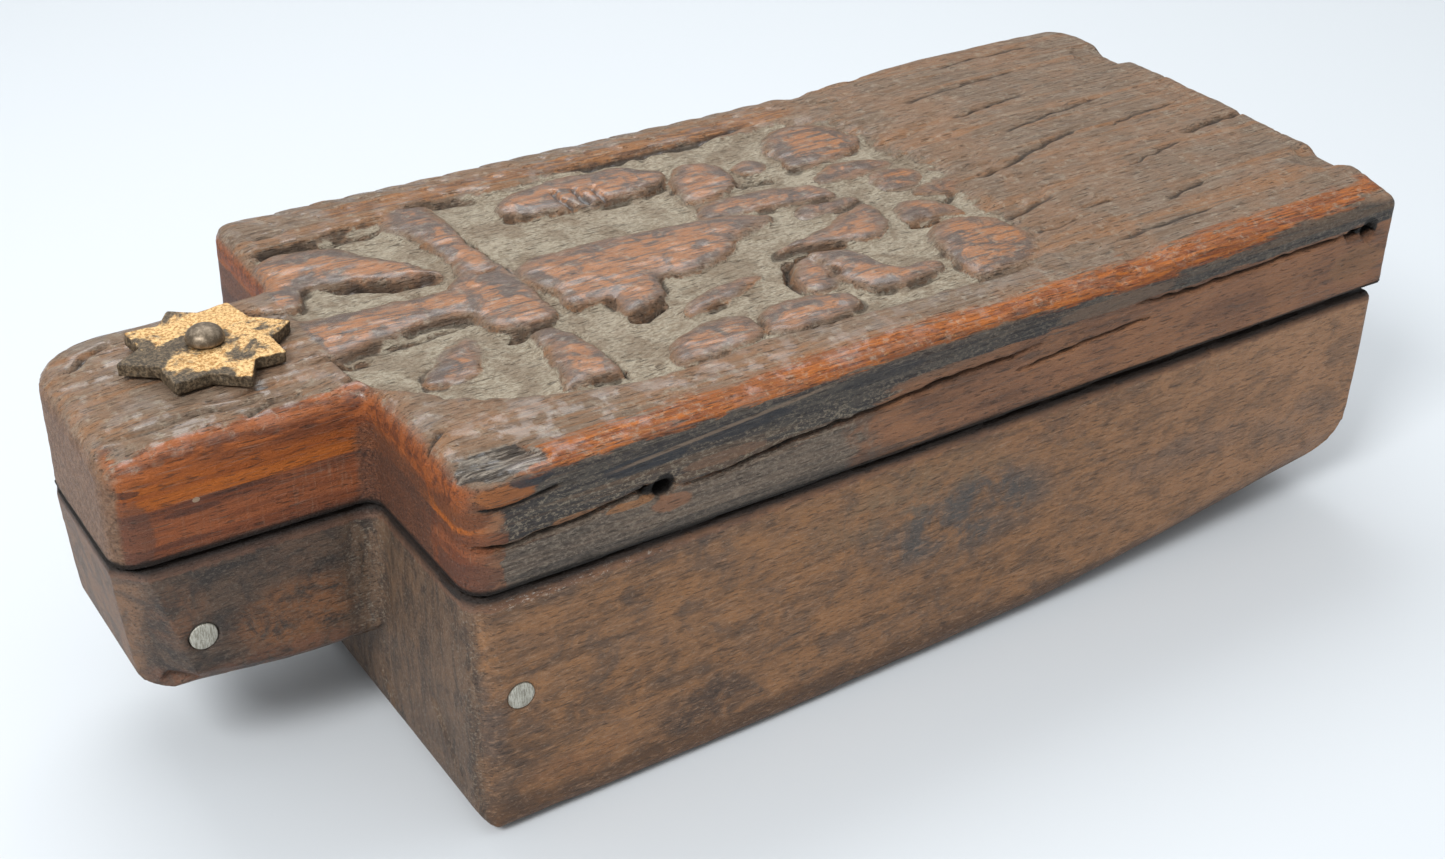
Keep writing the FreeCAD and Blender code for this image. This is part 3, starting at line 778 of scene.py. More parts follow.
star = {
    "cell": 0.32,
    "triangles": 60000,
    "bore": 2.9,
    "root": 12.7,
    "angles": [0, 55, 97, 137, 180, 231, 279, 316],
    "reach": [18.2, 17.4, 17.0, 17.6, 18.4, 17.6, 18.3, 17.2],
    "tilt": 1.6,             # degrees: the plate no longer lies flat on the wood
    "lift": 0.12,            # keeps it clear of the wood however it is turned
}


def starHeights(x, y):
    # bent, hammered plate: how far each point moves up or down
    away = np.hypot(x - pivotX, y - pivotY)
    sag = 0.25 * swell(x, y, 8, 8, 81) + 0.12 * swell(x, y, 2.2, 2.2, 82, 2)
    return sag * smoothStep(4, 9, away)


def buildStar():
    bm = bmesh.new()
    ring = []
    for index, angle in enumerate(star["angles"]):
        following = (star["angles"] + [360])[index + 1]
        for turn, radius in ((angle, star["reach"][index] - 0.35), ((angle + following) / 2, star["root"])):
            x = pivotX + radius * math.cos(math.radians(turn))
            y = pivotY + radius * math.sin(math.radians(turn))
            ring.append(bm.verts.new((x * mm, y * mm, starLow.z * mm)))
    bm.faces.new(ring)
    bmesh.ops.bevel(bm, geom=ring[::2], offset=0.5 * mm, offset_type="OFFSET", affect="VERTICES",
                    segments=3, profile=0.5, material=-1)
    made = bmesh.ops.extrude_face_region(bm, geom=bm.faces[:])
    lifted = [v for v in made["geom"] if isinstance(v, bmesh.types.BMVert)]
    bmesh.ops.translate(bm, verts=lifted, vec=(0, 0, (starHigh.z - starLow.z) * mm))
    bmesh.ops.recalc_face_normals(bm, faces=bm.faces[:])
    piece = newPiece("starPlate", bm)
    combine(piece, [pivotBore(star["bore"], starLow.z - 3, starHigh.z + 3)])
    remesh(piece, star["cell"])
    points = readPoints(piece)
    normals = readNormals(piece)
    x, y, z = points.T
    flat = np.hypot(normals[:, 0], normals[:, 1]) + 1e-6
    rough = 0.22 * waver(x / 1.6, y / 1.6, z / 1.2, 83, 2) - 0.12
    edge = smoothStep(0.35, 0.9, flat) * smoothStep(6, 8, np.hypot(x - pivotX, y - pivotY))
    x = x + edge * rough * normals[:, 0] / flat
    y = y + edge * rough * normals[:, 1] / flat
    z = z + starHeights(x, y)
    # laid a little askew, lower towards the neck's end
    lean = math.tan(math.radians(star["tilt"]))
    z = z + star["lift"] + (x - pivotX) * lean * 0.2 + (y - pivotY) * lean * 0.12
    writePoints(piece, np.stack([x, y, z], 1))
    thin(piece, star["triangles"])
    print("star cut:", len(piece.data.vertices), "vertices")
    return declare(piece, "star", "star_plate")


def turned(name, profile, steps=64):
    # spins a profile of (radius, height) points, in millimetres, about the pivot
    bm = bmesh.new()
    line = [bm.verts.new((pivotX * mm + radius * mm, pivotY * mm, z * mm)) for radius, z in profile]
    edges = [bm.edges.new(pair) for pair in zip(line[:-1], line[1:])]
    bmesh.ops.spin(bm, geom=line + edges, cent=(pivotX * mm, pivotY * mm, 0), axis=(0, 0, 1),
                   angle=math.tau, steps=steps, use_merge=True)
    bmesh.ops.remove_doubles(bm, verts=bm.verts[:], dist=0.00001)
    bmesh.ops.recalc_face_normals(bm, faces=bm.faces[:])
    for face in bm.faces:
        face.smooth = True
    return newPiece(name, bm)


def batter(piece, amount, size, seed):
    # dents a turned or cut metal piece all over
    points = readPoints(piece)
    normals = readNormals(piece)
    x, y, z = points.T
    dent = amount * (waver(x / size, y / size, z / size, seed, 2) - 0.4)
    writePoints(piece, points + normals * dent[:, None])


def smoothTurned(name, profile, dent, size, seed):
    # a turned piece rounded by subdivision, then dented
    piece = turned(name, profile)
    finish = piece.modifiers.new("smooth", "SUBSURF")
    finish.levels = finish.render_levels = 2
    settle(piece)
    batter(piece, dent, size, seed)
    return piece


def buildRivet():
    tipZ = rivetLow.z
    headZ = starHigh.z + 0.25
    tailZ = boxOf("rivet_rove")[0].z
    profile = [(0, tipZ), (1.6, tipZ + 0.1), (3.0, tipZ + 0.55), (3.9, tipZ + 1.2), (4.2, tailZ - 0.35),
               (4.0, tailZ), (2.7, tailZ + 0.05), (2.7, headZ - 0.1), (3.5, headZ), (3.95, headZ + 0.35),
               (3.9, headZ + 1.1), (3.5, headZ + 2.1), (2.7, headZ + 2.9), (1.5, headZ + 3.35),
               (0, rivetHigh.z - 0.05)]
    return declare(smoothTurned("pivotRivet", profile, 0.05, 2.6, 91), "base", "pivot_rivet")


def buildRove():
    low, high = boxOf("rivet_rove")
    outer = (high.x - low.x) / 2
    profile = [(2.75, low.z + 0.2), (3.1, low.z), (outer - 0.5, low.z), (outer - 0.05, low.z + 0.35),
               (outer - 0.05, high.z - 0.35), (outer - 0.5, high.z), (3.1, high.z), (2.75, high.z - 0.2),
               (2.75, low.z + 0.2)]
    return declare(smoothTurned("rivetRove", profile, 0.08, 1.9, 93), "base", "rivet_rove")


def endFaces(bm):
    return [f for f in bm.faces if len(f.verts) > 4]


def buildRod(name, node):
    low, high = boxOf(node)
    radius = (high.z - low.z) / 2 - 0.02
    x, z = (low.x + high.x) / 2, (low.z + high.z) / 2
    bm = bmesh.new()
    turn = Matrix.Rotation(math.radians(90), 4, "X")
    place = Matrix.Translation(Vector((x, (low.y + high.y) / 2, z)) * mm) @ turn
    bmesh.ops.create_cone(bm, cap_ends=True, segments=64, radius1=radius * mm, radius2=radius * mm,
                          depth=(high.y - low.y) * mm, matrix=place)
    rims = list({e for f in endFaces(bm) for e in f.edges})
    bmesh.ops.bevel(bm, geom=rims, offset=0.25 * mm, affect="EDGES", segments=3, profile=0.5, material=-1)
    for _ in range(3):
        bmesh.ops.inset_individual(bm, faces=endFaces(bm), thickness=0.8 * mm)
    bmesh.ops.poke(bm, faces=endFaces(bm))
    for vertex in bm.verts:
        away = math.hypot(vertex.co.x / mm - x, vertex.co.z / mm - z)
        side = 1 if vertex.co.y > 0 else -1
        vertex.co.y += side * mm * 0.12 * (1 - min(1.0, away / radius) ** 2)
    for face in bm.faces:
        face.smooth = True
    piece = newPiece(name, bm)
    batter(piece, 0.05, 1.3, 95)
    return declare(piece, "base", node)


def plug(tree, socket, value):
    if isinstance(value, bpy.types.NodeSocket):
        tree.links.new(value, socket)
    elif value is not None:
        socket.default_value = value


def make(tree, kind, inputs=None, **settings):
    made = tree.nodes.new(kind)
    for name, value in settings.items():
        setattr(made, name, value)
    for name, value in (inputs or {}).items():
        plug(tree, made.inputs[name], value)
    return made


def calc(tree, operation, first, *others, clamp=False):
    result = first
    for other in others:
        result = make(tree, "ShaderNodeMath", {0: result, 1: other}, operation=operation,
                      use_clamp=clamp).outputs[0]
    return result


def times(tree, *values):
    return calc(tree, "MULTIPLY", *values)


def plus(tree, *values):
    return calc(tree, "ADD", *values)


def minus(tree, first, second, clamp=False):
    return calc(tree, "SUBTRACT", first, second, clamp=clamp)


def vectorCalc(tree, operation, first, second=None):
    made = make(tree, "ShaderNodeVectorMath", {0: first, 1: second}, operation=operation)
    return made.outputs["Value" if operation == "LENGTH" else 0]


def axesOf(tree, vector):
    axes = make(tree, "ShaderNodeSeparateXYZ", {0: vector}).outputs
    return axes["X"], axes["Y"], axes["Z"]


def span(tree, value, low, high, fromValue=0.0, toValue=1.0):
    # smooth climb from one value to the other as the input goes from low to high
    inputs = {"Value": value, "From Min": low, "From Max": high, "To Min": fromValue, "To Max": toValue}
    return make(tree, "ShaderNodeMapRange", inputs, interpolation_type="SMOOTHSTEP").outputs[0]


def blend(tree, factor, first, second):
    return make(tree, "ShaderNodeMix", {0: factor, 6: first, 7: second}, data_type="RGBA").outputs[2]


def mask(tree, name):
    return make(tree, "ShaderNodeAttribute", attribute_name=name).outputs["Fac"]


def noise(tree, vector, scale, detail=3.0, rough=0.55, distortion=0.0):
    inputs = {"Vector": vector, "Scale": scale, "Detail": detail, "Roughness": rough,
              "Distortion": distortion}
    return make(tree, "ShaderNodeTexNoise", inputs).outputs["Fac"]


def stretched(tree, vector, scale, turn=(0, 0, 0)):
    inputs = {"Vector": vector, "Scale": scale, "Rotation": turn}
    return make(tree, "ShaderNodeMapping", inputs, vector_type="POINT").outputs[0]


def grainNoise(tree, place, scale, detail, rough=0.55, distortion=0.0, turn=(0, 0, 0)):
    # noise drawn out by different amounts along x, y and z: cells to a millimetre
    return noise(tree, stretched(tree, place, scale, turn), 1.0, detail, rough, distortion)


def rgb(red, green, blue):
    return (red, green, blue, 1.0)


def twoTone(tree, source, low, high, first, second):
    return blend(tree, span(tree, source, low, high), rgb(*first), rgb(*second))


def stain(tree, colour, source, low, high, amount, tone):
    # lays a tone over the colour wherever the source is past its range
    return blend(tree, times(tree, span(tree, source, low, high), amount), colour, rgb(*tone))


def stains(tree, colour, layers):
    for layer in layers:
        colour = stain(tree, colour, *layer)
    return colour


def newGroup(name, inputs, outputs):
    group = bpy.data.node_groups.new(name, "ShaderNodeTree")
    for socketName, kind, default in inputs:
        made = group.interface.new_socket(socketName, in_out="INPUT", socket_type=kind)
        if default is not None:
            made.default_value = default
    for socketName in outputs:
        group.interface.new_socket(socketName, in_out="OUTPUT", socket_type="NodeSocketFloat")
    return group, group.nodes.new("NodeGroupInput").outputs, group.nodes.new("NodeGroupOutput").inputs


def buildGrainGroup():
    # long hardwood grain along x, with pores, slow colour patches and hairline scratches
    outputs = ("Bands", "Fibres", "Pores", "Patches", "Scratches", "Height", "Layers")
    group, given, out = newGroup("hardwoodGrain", [("Millimetres", "NodeSocketVector", None),
                                                   ("Seed", "NodeSocketFloat", 0.0)], outputs)
    shift = make(group, "ShaderNodeCombineXYZ", {axis: given["Seed"] for axis in "XYZ"}).outputs[0]
    place = vectorCalc(group, "ADD", given["Millimetres"], shift)
    bands = grainNoise(group, place, (0.012, 0.16, 0.16), 5.0, 0.6, 0.6)
    fibres = grainNoise(group, place, (0.05, 1.3, 1.3), 4.0, 0.65, 0.3)
    pores = span(group, grainNoise(group, place, (0.30, 2.6, 2.6), 1.0, 0.5), 0.62, 0.72)
    patches = noise(group, place, 0.045, 4.0, 0.6, 0.4)
    hair = grainNoise(group, place, (0.10, 1.2, 3.0), 2.0, 0.6, turn=(0, 0.55, 0))
    hairOther = grainNoise(group, place, (0.12, 1.2, 3.2), 2.0, 0.6, turn=(0, -0.35, 0.3))
    scratches = calc(group, "MAXIMUM", span(group, hair, 0.60, 0.72), span(group, hairOther, 0.62, 0.74))
    grit = noise(group, place, 1.4, 3.0, 0.7)
    height = plus(group, times(group, fibres, 0.6), times(group, grit, 0.35))
    height = minus(group, height, times(group, pores, 0.5))
    height = minus(group, height, times(group, scratches, 0.2))
    layers = grainNoise(group, place, (0.006, 0.22, 0.34), 5.0, 0.62, 0.25)
    for name, value in zip(outputs, (bands, fibres, pores, patches, scratches, height, layers)):
        group.links.new(value, out[name])
    return group


def buildBreakupGroup():
    # makes a soft mask ragged: eats it away with noise of a given size
    group, given, out = newGroup("raggedMask", [
        ("Millimetres", "NodeSocketVector", None), ("Mask", "NodeSocketFloat", 0.0),
        ("Size", "NodeSocketFloat", 0.3), ("Amount", "NodeSocketFloat", 0.5)], ("Mask",))
    rough = noise(group, given["Millimetres"], given["Size"], 5.0, 0.65)
    lifted = plus(group, given["Mask"], times(group, minus(group, rough, 0.5), given["Amount"], 2.0))
    group.links.new(span(group, lifted, 0.3, 0.7), out["Mask"])
    return group


grainGroup = buildGrainGroup()
breakupGroup = buildBreakupGroup()


def ragged(tree, place, value, size, amount):
    made = make(tree, "ShaderNodeGroup", node_tree=breakupGroup)
    plug(tree, made.inputs["Millimetres"], place)
    plug(tree, made.inputs["Mask"], value)
    made.inputs["Size"].default_value = size
    made.inputs["Amount"].default_value = amount
    return made.outputs[0]


def newMaterial(name):
    material = bpy.data.materials.new(name)
    material.use_nodes = True
    tree = material.node_tree
    shader = tree.nodes["Principled BSDF"]
    place = vectorCalc(tree, "MULTIPLY", make(tree, "ShaderNodeTexCoord").outputs["Object"], (1 / mm,) * 3)
    return material, tree, shader, place


def grainOf(tree, place, seed):
    made = make(tree, "ShaderNodeGroup", node_tree=grainGroup)
    plug(tree, made.inputs["Millimetres"], place)
    made.inputs["Seed"].default_value = seed
    return made.outputs


def bump(tree, height, strength, distance):
    inputs = {"Height": height, "Strength": strength, "Distance": distance * mm}
    return make(tree, "ShaderNodeBump", inputs).outputs[0]


def spot(tree, place, centre, size):
    # 1 inside an oval zone, 0 outside; a size of 0 leaves that direction out
    offset = vectorCalc(tree, "SUBTRACT", place, centre)
    share = vectorCalc(tree, "MULTIPLY", offset, tuple(1.0 / v if v else 0.0 for v in size))
    return span(tree, vectorCalc(tree, "LENGTH", share), 1.25, 0.55)


def paintSpots(tree, place, colour, spots, where, size=0.5, amount=0.6):
    # each patch is (x, z), (half length, half height), strength and tone; an amount of 0 keeps it soft
    cloud = span(tree, noise(tree, place, size, 5.0, 0.7, 0.6), 0.34, 0.60)
    for (x, z), (halfX, halfZ), strength, tone in spots:
        zone = times(tree, spot(tree, place, (x, 0, z), (halfX, 0, halfZ)), where)
        zone = ragged(tree, place, zone, size, amount) if amount else times(tree, zone, cloud)
        colour = blend(tree, times(tree, zone, strength), colour, rgb(*tone))
    return colour


def heightCurve(tree, x, points, low=60.0, high=90.0):
    # a level that changes along the box, through points (x, level) between low and high
    along = make(tree, "ShaderNodeMapRange", {"Value": x, "From Min": -150.0, "From Max": 150.0}).outputs[0]
    curve = make(tree, "ShaderNodeFloatCurve", {"Value": along})
    line = curve.mapping.curves[0]
    for index, (place, level) in enumerate(points):
        knot = ((place + 150.0) / 300.0, (level - low) / (high - low))
        if index < 2:
            line.points[index].location = knot
        else:
            line.points.new(*knot)
    for point in line.points:
        point.handle_type = "VECTOR"
    curve.mapping.update()
    inputs = {"Value": curve.outputs[0], "To Min": low, "To Max": high}
    return make(tree, "ShaderNodeMapRange", inputs).outputs[0]


lidPaint = {
    # near black, painted shade in the cracks, peg holes and the joint under the lid
    "recessShade": rgb(0.010, 0.007, 0.005),
    "dustPale": rgb(0.46, 0.395, 0.30),
    "dustDark": rgb(0.26, 0.205, 0.140),
    # level of the near edge's colour bands along the box
    "arrisFoot": [(-150, 80), (-98, 81), (-80, 80.6), (30, 80), (66, 78.6), (90, 79), (112, 80.6),
                  (150, 82)],
    "bandFoot": [(-150, 80), (-97, 67), (-80, 67.4), (-60, 69.4), (-47, 67.4), (-12, 69.6), (6, 73),
                 (30, 74.5), (85, 75), (150, 75)],
    # patches on the near edge, and on the neck's near side
    "nearSpots": [
        ((-90, 78.0), (7, 2.8), 0.9, (0.34, 0.115, 0.032)),
        ((-97, 75.0), (5, 3.5), 0.75, (0.125, 0.046, 0.022)),
        ((-94, 69.0), (5, 2.5), 0.7, (0.20, 0.062, 0.024)),
        ((-95, 61.5), (5, 3.0), 0.7, (0.115, 0.046, 0.028)),
        ((-60, 75.6), (11, 2.0), 0.8, (0.028, 0.031, 0.038)),
        ((-38, 76.8), (13, 1.8), 0.7, (0.030, 0.032, 0.038)),
        ((-4, 77.6), (12, 1.5), 0.6, (0.034, 0.034, 0.038)),
        ((-84, 80.2), (5, 1.9), 0.9, (0.030, 0.032, 0.038)),
        ((-54, 64.8), (5, 2.0), 0.8, (0.27, 0.125, 0.065)),
        ((-75, 68.7), (6, 0.9), 0.8, (0.30, 0.135, 0.055)),
        ((-63, 67.2), (6, 0.9), 0.8, (0.33, 0.150, 0.060)),
        ((-42, 71.2), (11, 1.5), 0.6, (0.22, 0.115, 0.065)),
        ((14, 73.4), (18, 1.6), 0.7, (0.26, 0.125, 0.065)),
        ((60, 76.6), (19, 1.9), 0.7, (0.19, 0.120, 0.078)),
        ((138, 66.0), (10, 5.0), 0.6, (0.30, 0.150, 0.070)),
        ((-40, 59.6), (60, 1.1), 0.5, (0.045, 0.038, 0.033)),
    ],
    "neckSpots": [
        ((-145, 78.0), (4, 4.2), 0.8, (0.38, 0.110, 0.022)),
        ((-146, 73.8), (3, 0.9), 0.8, (0.08, 0.026, 0.014)),
        ((-134, 67.0), (6, 0.9), 0.7, (0.08, 0.028, 0.018)),
        ((-137, 60.8), (7, 0.8), 0.6, (0.08, 0.028, 0.018)),
        ((-146, 64.0), (5, 9.0), 0.6, (0.11, 0.050, 0.034)),
        ((-139, 78.6), (1.4, 0.8), 0.8, (0.48, 0.34, 0.22)),
        ((-133, 69.0), (0.8, 0.6), 0.8, (0.42, 0.30, 0.20)),
    ],
}


def neckTones(tree, place, x, z, grain, streak, speck):
    # neck side and shoulder: a mottled arris, an orange band, a dark line, then red-brown
    band = grainNoise(tree, place, (0.014, 0.10, 0.30), 4.0, 0.6, 0.3)
    orange = twoTone(tree, band, 0.36, 0.60, (0.31, 0.072, 0.009), (0.46, 0.118, 0.012))
    redBrown = twoTone(tree, band, 0.40, 0.60, (0.185, 0.050, 0.018), (0.31, 0.088, 0.028))
    ripple = times(tree, minus(tree, band, 0.5), 4.0)
    line = plus(tree, minus(tree, z, times(tree, x, 0.04)), ripple)
    tone = blend(tree, span(tree, line, 74.3, 75.2), redBrown, orange)
    dark = times(tree, span(tree, line, 75.2, 74.6), span(tree, line, 70.5, 73.6),
                 span(tree, x, -150.0, -118.0, 0.5, 1.0), span(tree, grain["Fibres"], 0.66, 0.42), 0.85)
    tone = blend(tree, dark, tone, rgb(0.070, 0.026, 0.017))
    arris = plus(tree, z, times(tree, x, 0.05), times(tree, ripple, 0.6))
    mottle = grainNoise(tree, place, (0.25, 0.7, 0.7), 5.0, 0.7, 0.8)
    arrisTone = twoTone(tree, mottle, 0.40, 0.60, (0.13, 0.032, 0.012), (0.38, 0.098, 0.024))
    arrisTone = stain(tree, arrisTone, speck, 0.55, 0.68, 0.35, (0.42, 0.22, 0.11))
    tone = blend(tree, times(tree, span(tree, arris, 72.0, 73.0), 0.9), tone, arrisTone)
    tone = stain(tree, tone, streak, 0.54, 0.66, 0.30, (0.12, 0.030, 0.012))
    rubs = grainNoise(tree, place, (1.5, 1.5, 0.09), 3.0, 0.7)
    low = times(tree, span(tree, z, 71.0, 67.0), span(tree, x, -126.0, -104.0, 0.3, 1.0))
    tone = blend(tree, times(tree, span(tree, rubs, 0.54, 0.68), low, 0.45), tone, rgb(0.36, 0.20, 0.12))
    tone = stain(tree, tone, z, 60.5, 58.4, 0.5, (0.09, 0.035, 0.020))
    return tone


def lidTopTones(tree, grain, streak):
    # greyed brown, with red-brown and orange where it is rubbed
    tone = twoTone(tree, grain["Fibres"], 0.34, 0.64, (0.265, 0.185, 0.125), (0.19, 0.118, 0.072))
    return stains(tree, tone, [
        (grain["Patches"], 0.44, 0.60, 0.6, (0.29, 0.158, 0.086)),
        (grain["Layers"], 0.50, 0.64, 0.6, (0.34, 0.155, 0.062)),
        (streak, 0.46, 0.34, 0.55, (0.115, 0.072, 0.047)),
        (streak, 0.58, 0.68, 0.4, (0.37, 0.285, 0.205))])


def endGrainTones(tree, streak, grit):
    tone = twoTone(tree, streak, 0.38, 0.62, (0.150, 0.078, 0.042), (0.30, 0.175, 0.105))
    return stain(tree, tone, grit, 0.50, 0.64, 0.5, (0.10, 0.062, 0.042))


def slateTones(tree, grain, grit, overArris):
    # weathered band under the near arris, dustier lower down
    tone = twoTone(tree, grain["Fibres"], 0.40, 0.60, (0.028, 0.028, 0.030), (0.078, 0.070, 0.060))
    tone = stain(tree, tone, grain["Layers"], 0.52, 0.62, 0.6, (0.16, 0.098, 0.058))
    dusty = times(tree, span(tree, grit, 0.50, 0.60), span(tree, overArris, -3.0, -9.0, 0.30, 0.70))
    return blend(tree, dusty, tone, rgb(0.34, 0.28, 0.20))


def arrisTones(tree, grain, mottle, streak, grit):
    tone = twoTone(tree, grain["Fibres"], 0.34, 0.62, (0.20, 0.046, 0.010), (0.50, 0.142, 0.020))
    return stains(tree, tone, [
        (mottle, 0.52, 0.40, 0.55, (0.23, 0.075, 0.026)),
        (streak, 0.55, 0.66, 0.75, (0.085, 0.036, 0.018)),
        (grit, 0.56, 0.68, 0.5, (0.62, 0.32, 0.11))])


def leafTones(tree, place, core, streak, grit):
    # raised parts: dark red-brown with orange crowns
    patch = noise(tree, place, 0.16, 4.0, 0.62, 0.6)
    tone = twoTone(tree, patch, 0.40, 0.58, (0.125, 0.074, 0.050), (0.29, 0.140, 0.072))
    rubbed = times(tree, span(tree, times(tree, core, patch), 0.32, 0.45), span(tree, streak, 0.62, 0.46))
    tone = blend(tree, times(tree, rubbed, 0.9), tone, rgb(0.49, 0.180, 0.048))
    return stains(tree, tone, [
        (streak, 0.50, 0.62, 0.65, (0.080, 0.050, 0.038)),
        (grit, 0.54, 0.68, 0.4, (0.36, 0.28, 0.20))])


def dustTones(tree, cloud, grit):
    tone = blend(tree, span(tree, grit, 0.38, 0.62), lidPaint["dustDark"], lidPaint["dustPale"])
    return stains(tree, tone, [
        (cloud, 0.46, 0.62, 0.55, (0.19, 0.130, 0.082)),
        (cloud, 0.44, 0.32, 0.5, (0.47, 0.40, 0.30))])


def splinterTones(tree, streak, grit):
    tone = twoTone(tree, streak, 0.44, 0.60, (0.035, 0.029, 0.024), (0.30, 0.255, 0.205))
    return stain(tree, tone, grit, 0.52, 0.64, 0.6, (0.10, 0.066, 0.042))


def undersideTones(tree, place, y, grain):
    # paler wood, scored in arcs by grit as the lid turns
    fromPivot = vectorCalc(tree, "SUBTRACT", place, (pivotX, pivotY, 0))
    reach = vectorCalc(tree, "LENGTH", vectorCalc(tree, "MULTIPLY", fromPivot, (1, 1, 0)))
    arcPlace = make(tree, "ShaderNodeCombineXYZ", {"X": reach, "Y": times(tree, y, 0.02)}).outputs[0]
    tone = twoTone(tree, grain["Bands"], 0.38, 0.62, (0.19, 0.10, 0.055), (0.32, 0.185, 0.105))
    return stain(tree, tone, noise(tree, arcPlace, 0.9, 5.0, 0.8), 0.56, 0.70, 0.6, (0.10, 0.055, 0.034))


def lidMaterial():
    c = lidPaint
    material, tree, shader, place = newMaterial("lidHardwood")
    grain = grainOf(tree, place, 3.0)
    x, y, z = axesOf(tree, place)
    onTop = mask(tree, "onTop")
    speck = noise(tree, place, 1.6, 3.0, 0.75)
    grit = grainNoise(tree, place, (0.9, 1.7, 1.7), 4.0, 0.8)
    streak = grainNoise(tree, place, (0.09, 0.9, 0.9), 5.0, 0.7, 0.4)
    wood = twoTone(tree, grain["Bands"], 0.40, 0.60, (0.150, 0.072, 0.041), (0.295, 0.135, 0.068))
    wood = stains(tree, wood, [
        (grain["Patches"], 0.46, 0.60, 0.6, (0.35, 0.160, 0.074)),
        (streak, 0.52, 0.64, 0.6, (0.10, 0.066, 0.050)),
        (grit, 0.54, 0.66, 0.4, (0.36, 0.20, 0.12))])
    # neck and shoulder
    ember = neckTones(tree, place, x, z, grain, streak, speck)
    ember = paintSpots(tree, place, ember, c["neckSpots"], span(tree, y, -20.0, -23.0), 0.7, 0.5)
    shoulder = times(tree, span(tree, x, -104.0, -98.0), span(tree, y, -60.0, -36.0, 0.25, 1.0),
                     span(tree, z, 79.0, 74.0))
    wallTone = twoTone(tree, grit, 0.42, 0.62, (0.048, 0.023, 0.016), (0.175, 0.072, 0.038))
    ember = blend(tree, times(tree, ragged(tree, place, shoulder, 0.3, 0.5), 0.8), ember, wallTone)
    endFace = ragged(tree, place, span(tree, x, -145.5, -149.3), 0.25, 0.35)
    ember = blend(tree, times(tree, endFace, 0.95), ember, endGrainTones(tree, streak, grit))
    wood = blend(tree, times(tree, span(tree, x, -91.0, -98.0), 0.97), wood, ember)
    # near edge: slate-dark band above the crack, grey-brown below it
    nearSide = span(tree, y, -50.0, -54.0)
    ripple = times(tree, minus(tree, streak, 0.5), 7.0)
    level = plus(tree, z, ripple)
    overBand = minus(tree, level, heightCurve(tree, x, c["bandFoot"]))
    overArris = minus(tree, level, heightCurve(tree, x, c["arrisFoot"]))
    pastCorner = ragged(tree, stretched(tree, place, (0.6, 1, 1)), span(tree, x, -93.5, -87.0), 0.5, 0.9)
    slate = times(tree, span(tree, overBand, -0.4, 0.6), nearSide, pastCorner, 0.95)
    wood = blend(tree, slate, wood, slateTones(tree, grain, grit, overArris))
    lower = times(tree, span(tree, overBand, 0.2, -0.6), nearSide, pastCorner, span(tree, x, 8.0, -26.0))
    greyTone = twoTone(tree, grain["Fibres"], 0.42, 0.60, (0.085, 0.068, 0.054), (0.17, 0.128, 0.094))
    greyTone = stain(tree, greyTone, grit, 0.46, 0.62, 0.7, (0.30, 0.245, 0.185))
    wood = blend(tree, times(tree, ragged(tree, place, lower, 0.2, 0.6), 0.92), wood, greyTone)
    wood = paintSpots(tree, place, wood, c["nearSpots"], nearSide)
    line = calc(tree, "ABSOLUTE", minus(tree, minus(tree, z, times(tree, x, 0.067)), 80.3), 0.0)
    line = times(tree, span(tree, line, 0.55, 0.2), nearSide, span(tree, x, -72.0, -60.0),
                 span(tree, x, -14.0, -24.0), 0.6)
    wood = blend(tree, line, wood, rgb(0.30, 0.205, 0.135))
    colour = blend(tree, onTop, wood, lidTopTones(tree, grain, streak))
    # orange worn arris along the near side and at the neck's edge
    edgeGap = times(tree, mask(tree, "inside"), 20.0)
    mottle = grainNoise(tree, place, (0.06, 0.35, 0.35), 4.0, 0.65, 0.6)
    inner = plus(tree, edgeGap, ripple, times(tree, minus(tree, mottle, 0.5), 9.0))
    nearArris = times(tree, span(tree, overArris, -0.5, 0.6), span(tree, inner, 8.4, 5.2),
                      span(tree, y, -48.0, -52.0),
                      ragged(tree, place, span(tree, x, -92.0, -80.0), 0.25, 0.6))
    colour = blend(tree, times(tree, nearArris, 0.95), colour, arrisTones(tree, grain, mottle, streak, grit))
    neckArris = times(tree, span(tree, plus(tree, edgeGap, ripple), 4.6, 3.0), span(tree, x, -95.0, -98.0),
                      span(tree, x, -149.5, -146.0), span(tree, y, -14.0, -18.0), span(tree, z, 74.0, 77.0))
    emberArris = twoTone(tree, mottle, 0.40, 0.58, (0.15, 0.040, 0.014), (0.40, 0.108, 0.024))
    colour = blend(tree, times(tree, neckArris, 0.85), colour, emberArris)
    core = mask(tree, "core")
    raised = times(tree, span(tree, core, 0.02, 0.6), 0.9)
    colour = blend(tree, raised, colour, leafTones(tree, place, core, streak, grit))
    # sloping inner face of the far rim, rubbed orange
    innerFace = times(tree, span(tree, y, 48.0, 51.0), span(tree, y, 57.5, 54.5),
                      span(tree, x, -86.0, -60.0), span(tree, x, 58.0, 44.0), onTop)
    rimTone = twoTone(tree, streak, 0.4, 0.6, (0.17, 0.080, 0.042), (0.40, 0.165, 0.052))
    colour = blend(tree, times(tree, ragged(tree, place, innerFace, 0.12, 0.6), 0.8), colour, rimTone)
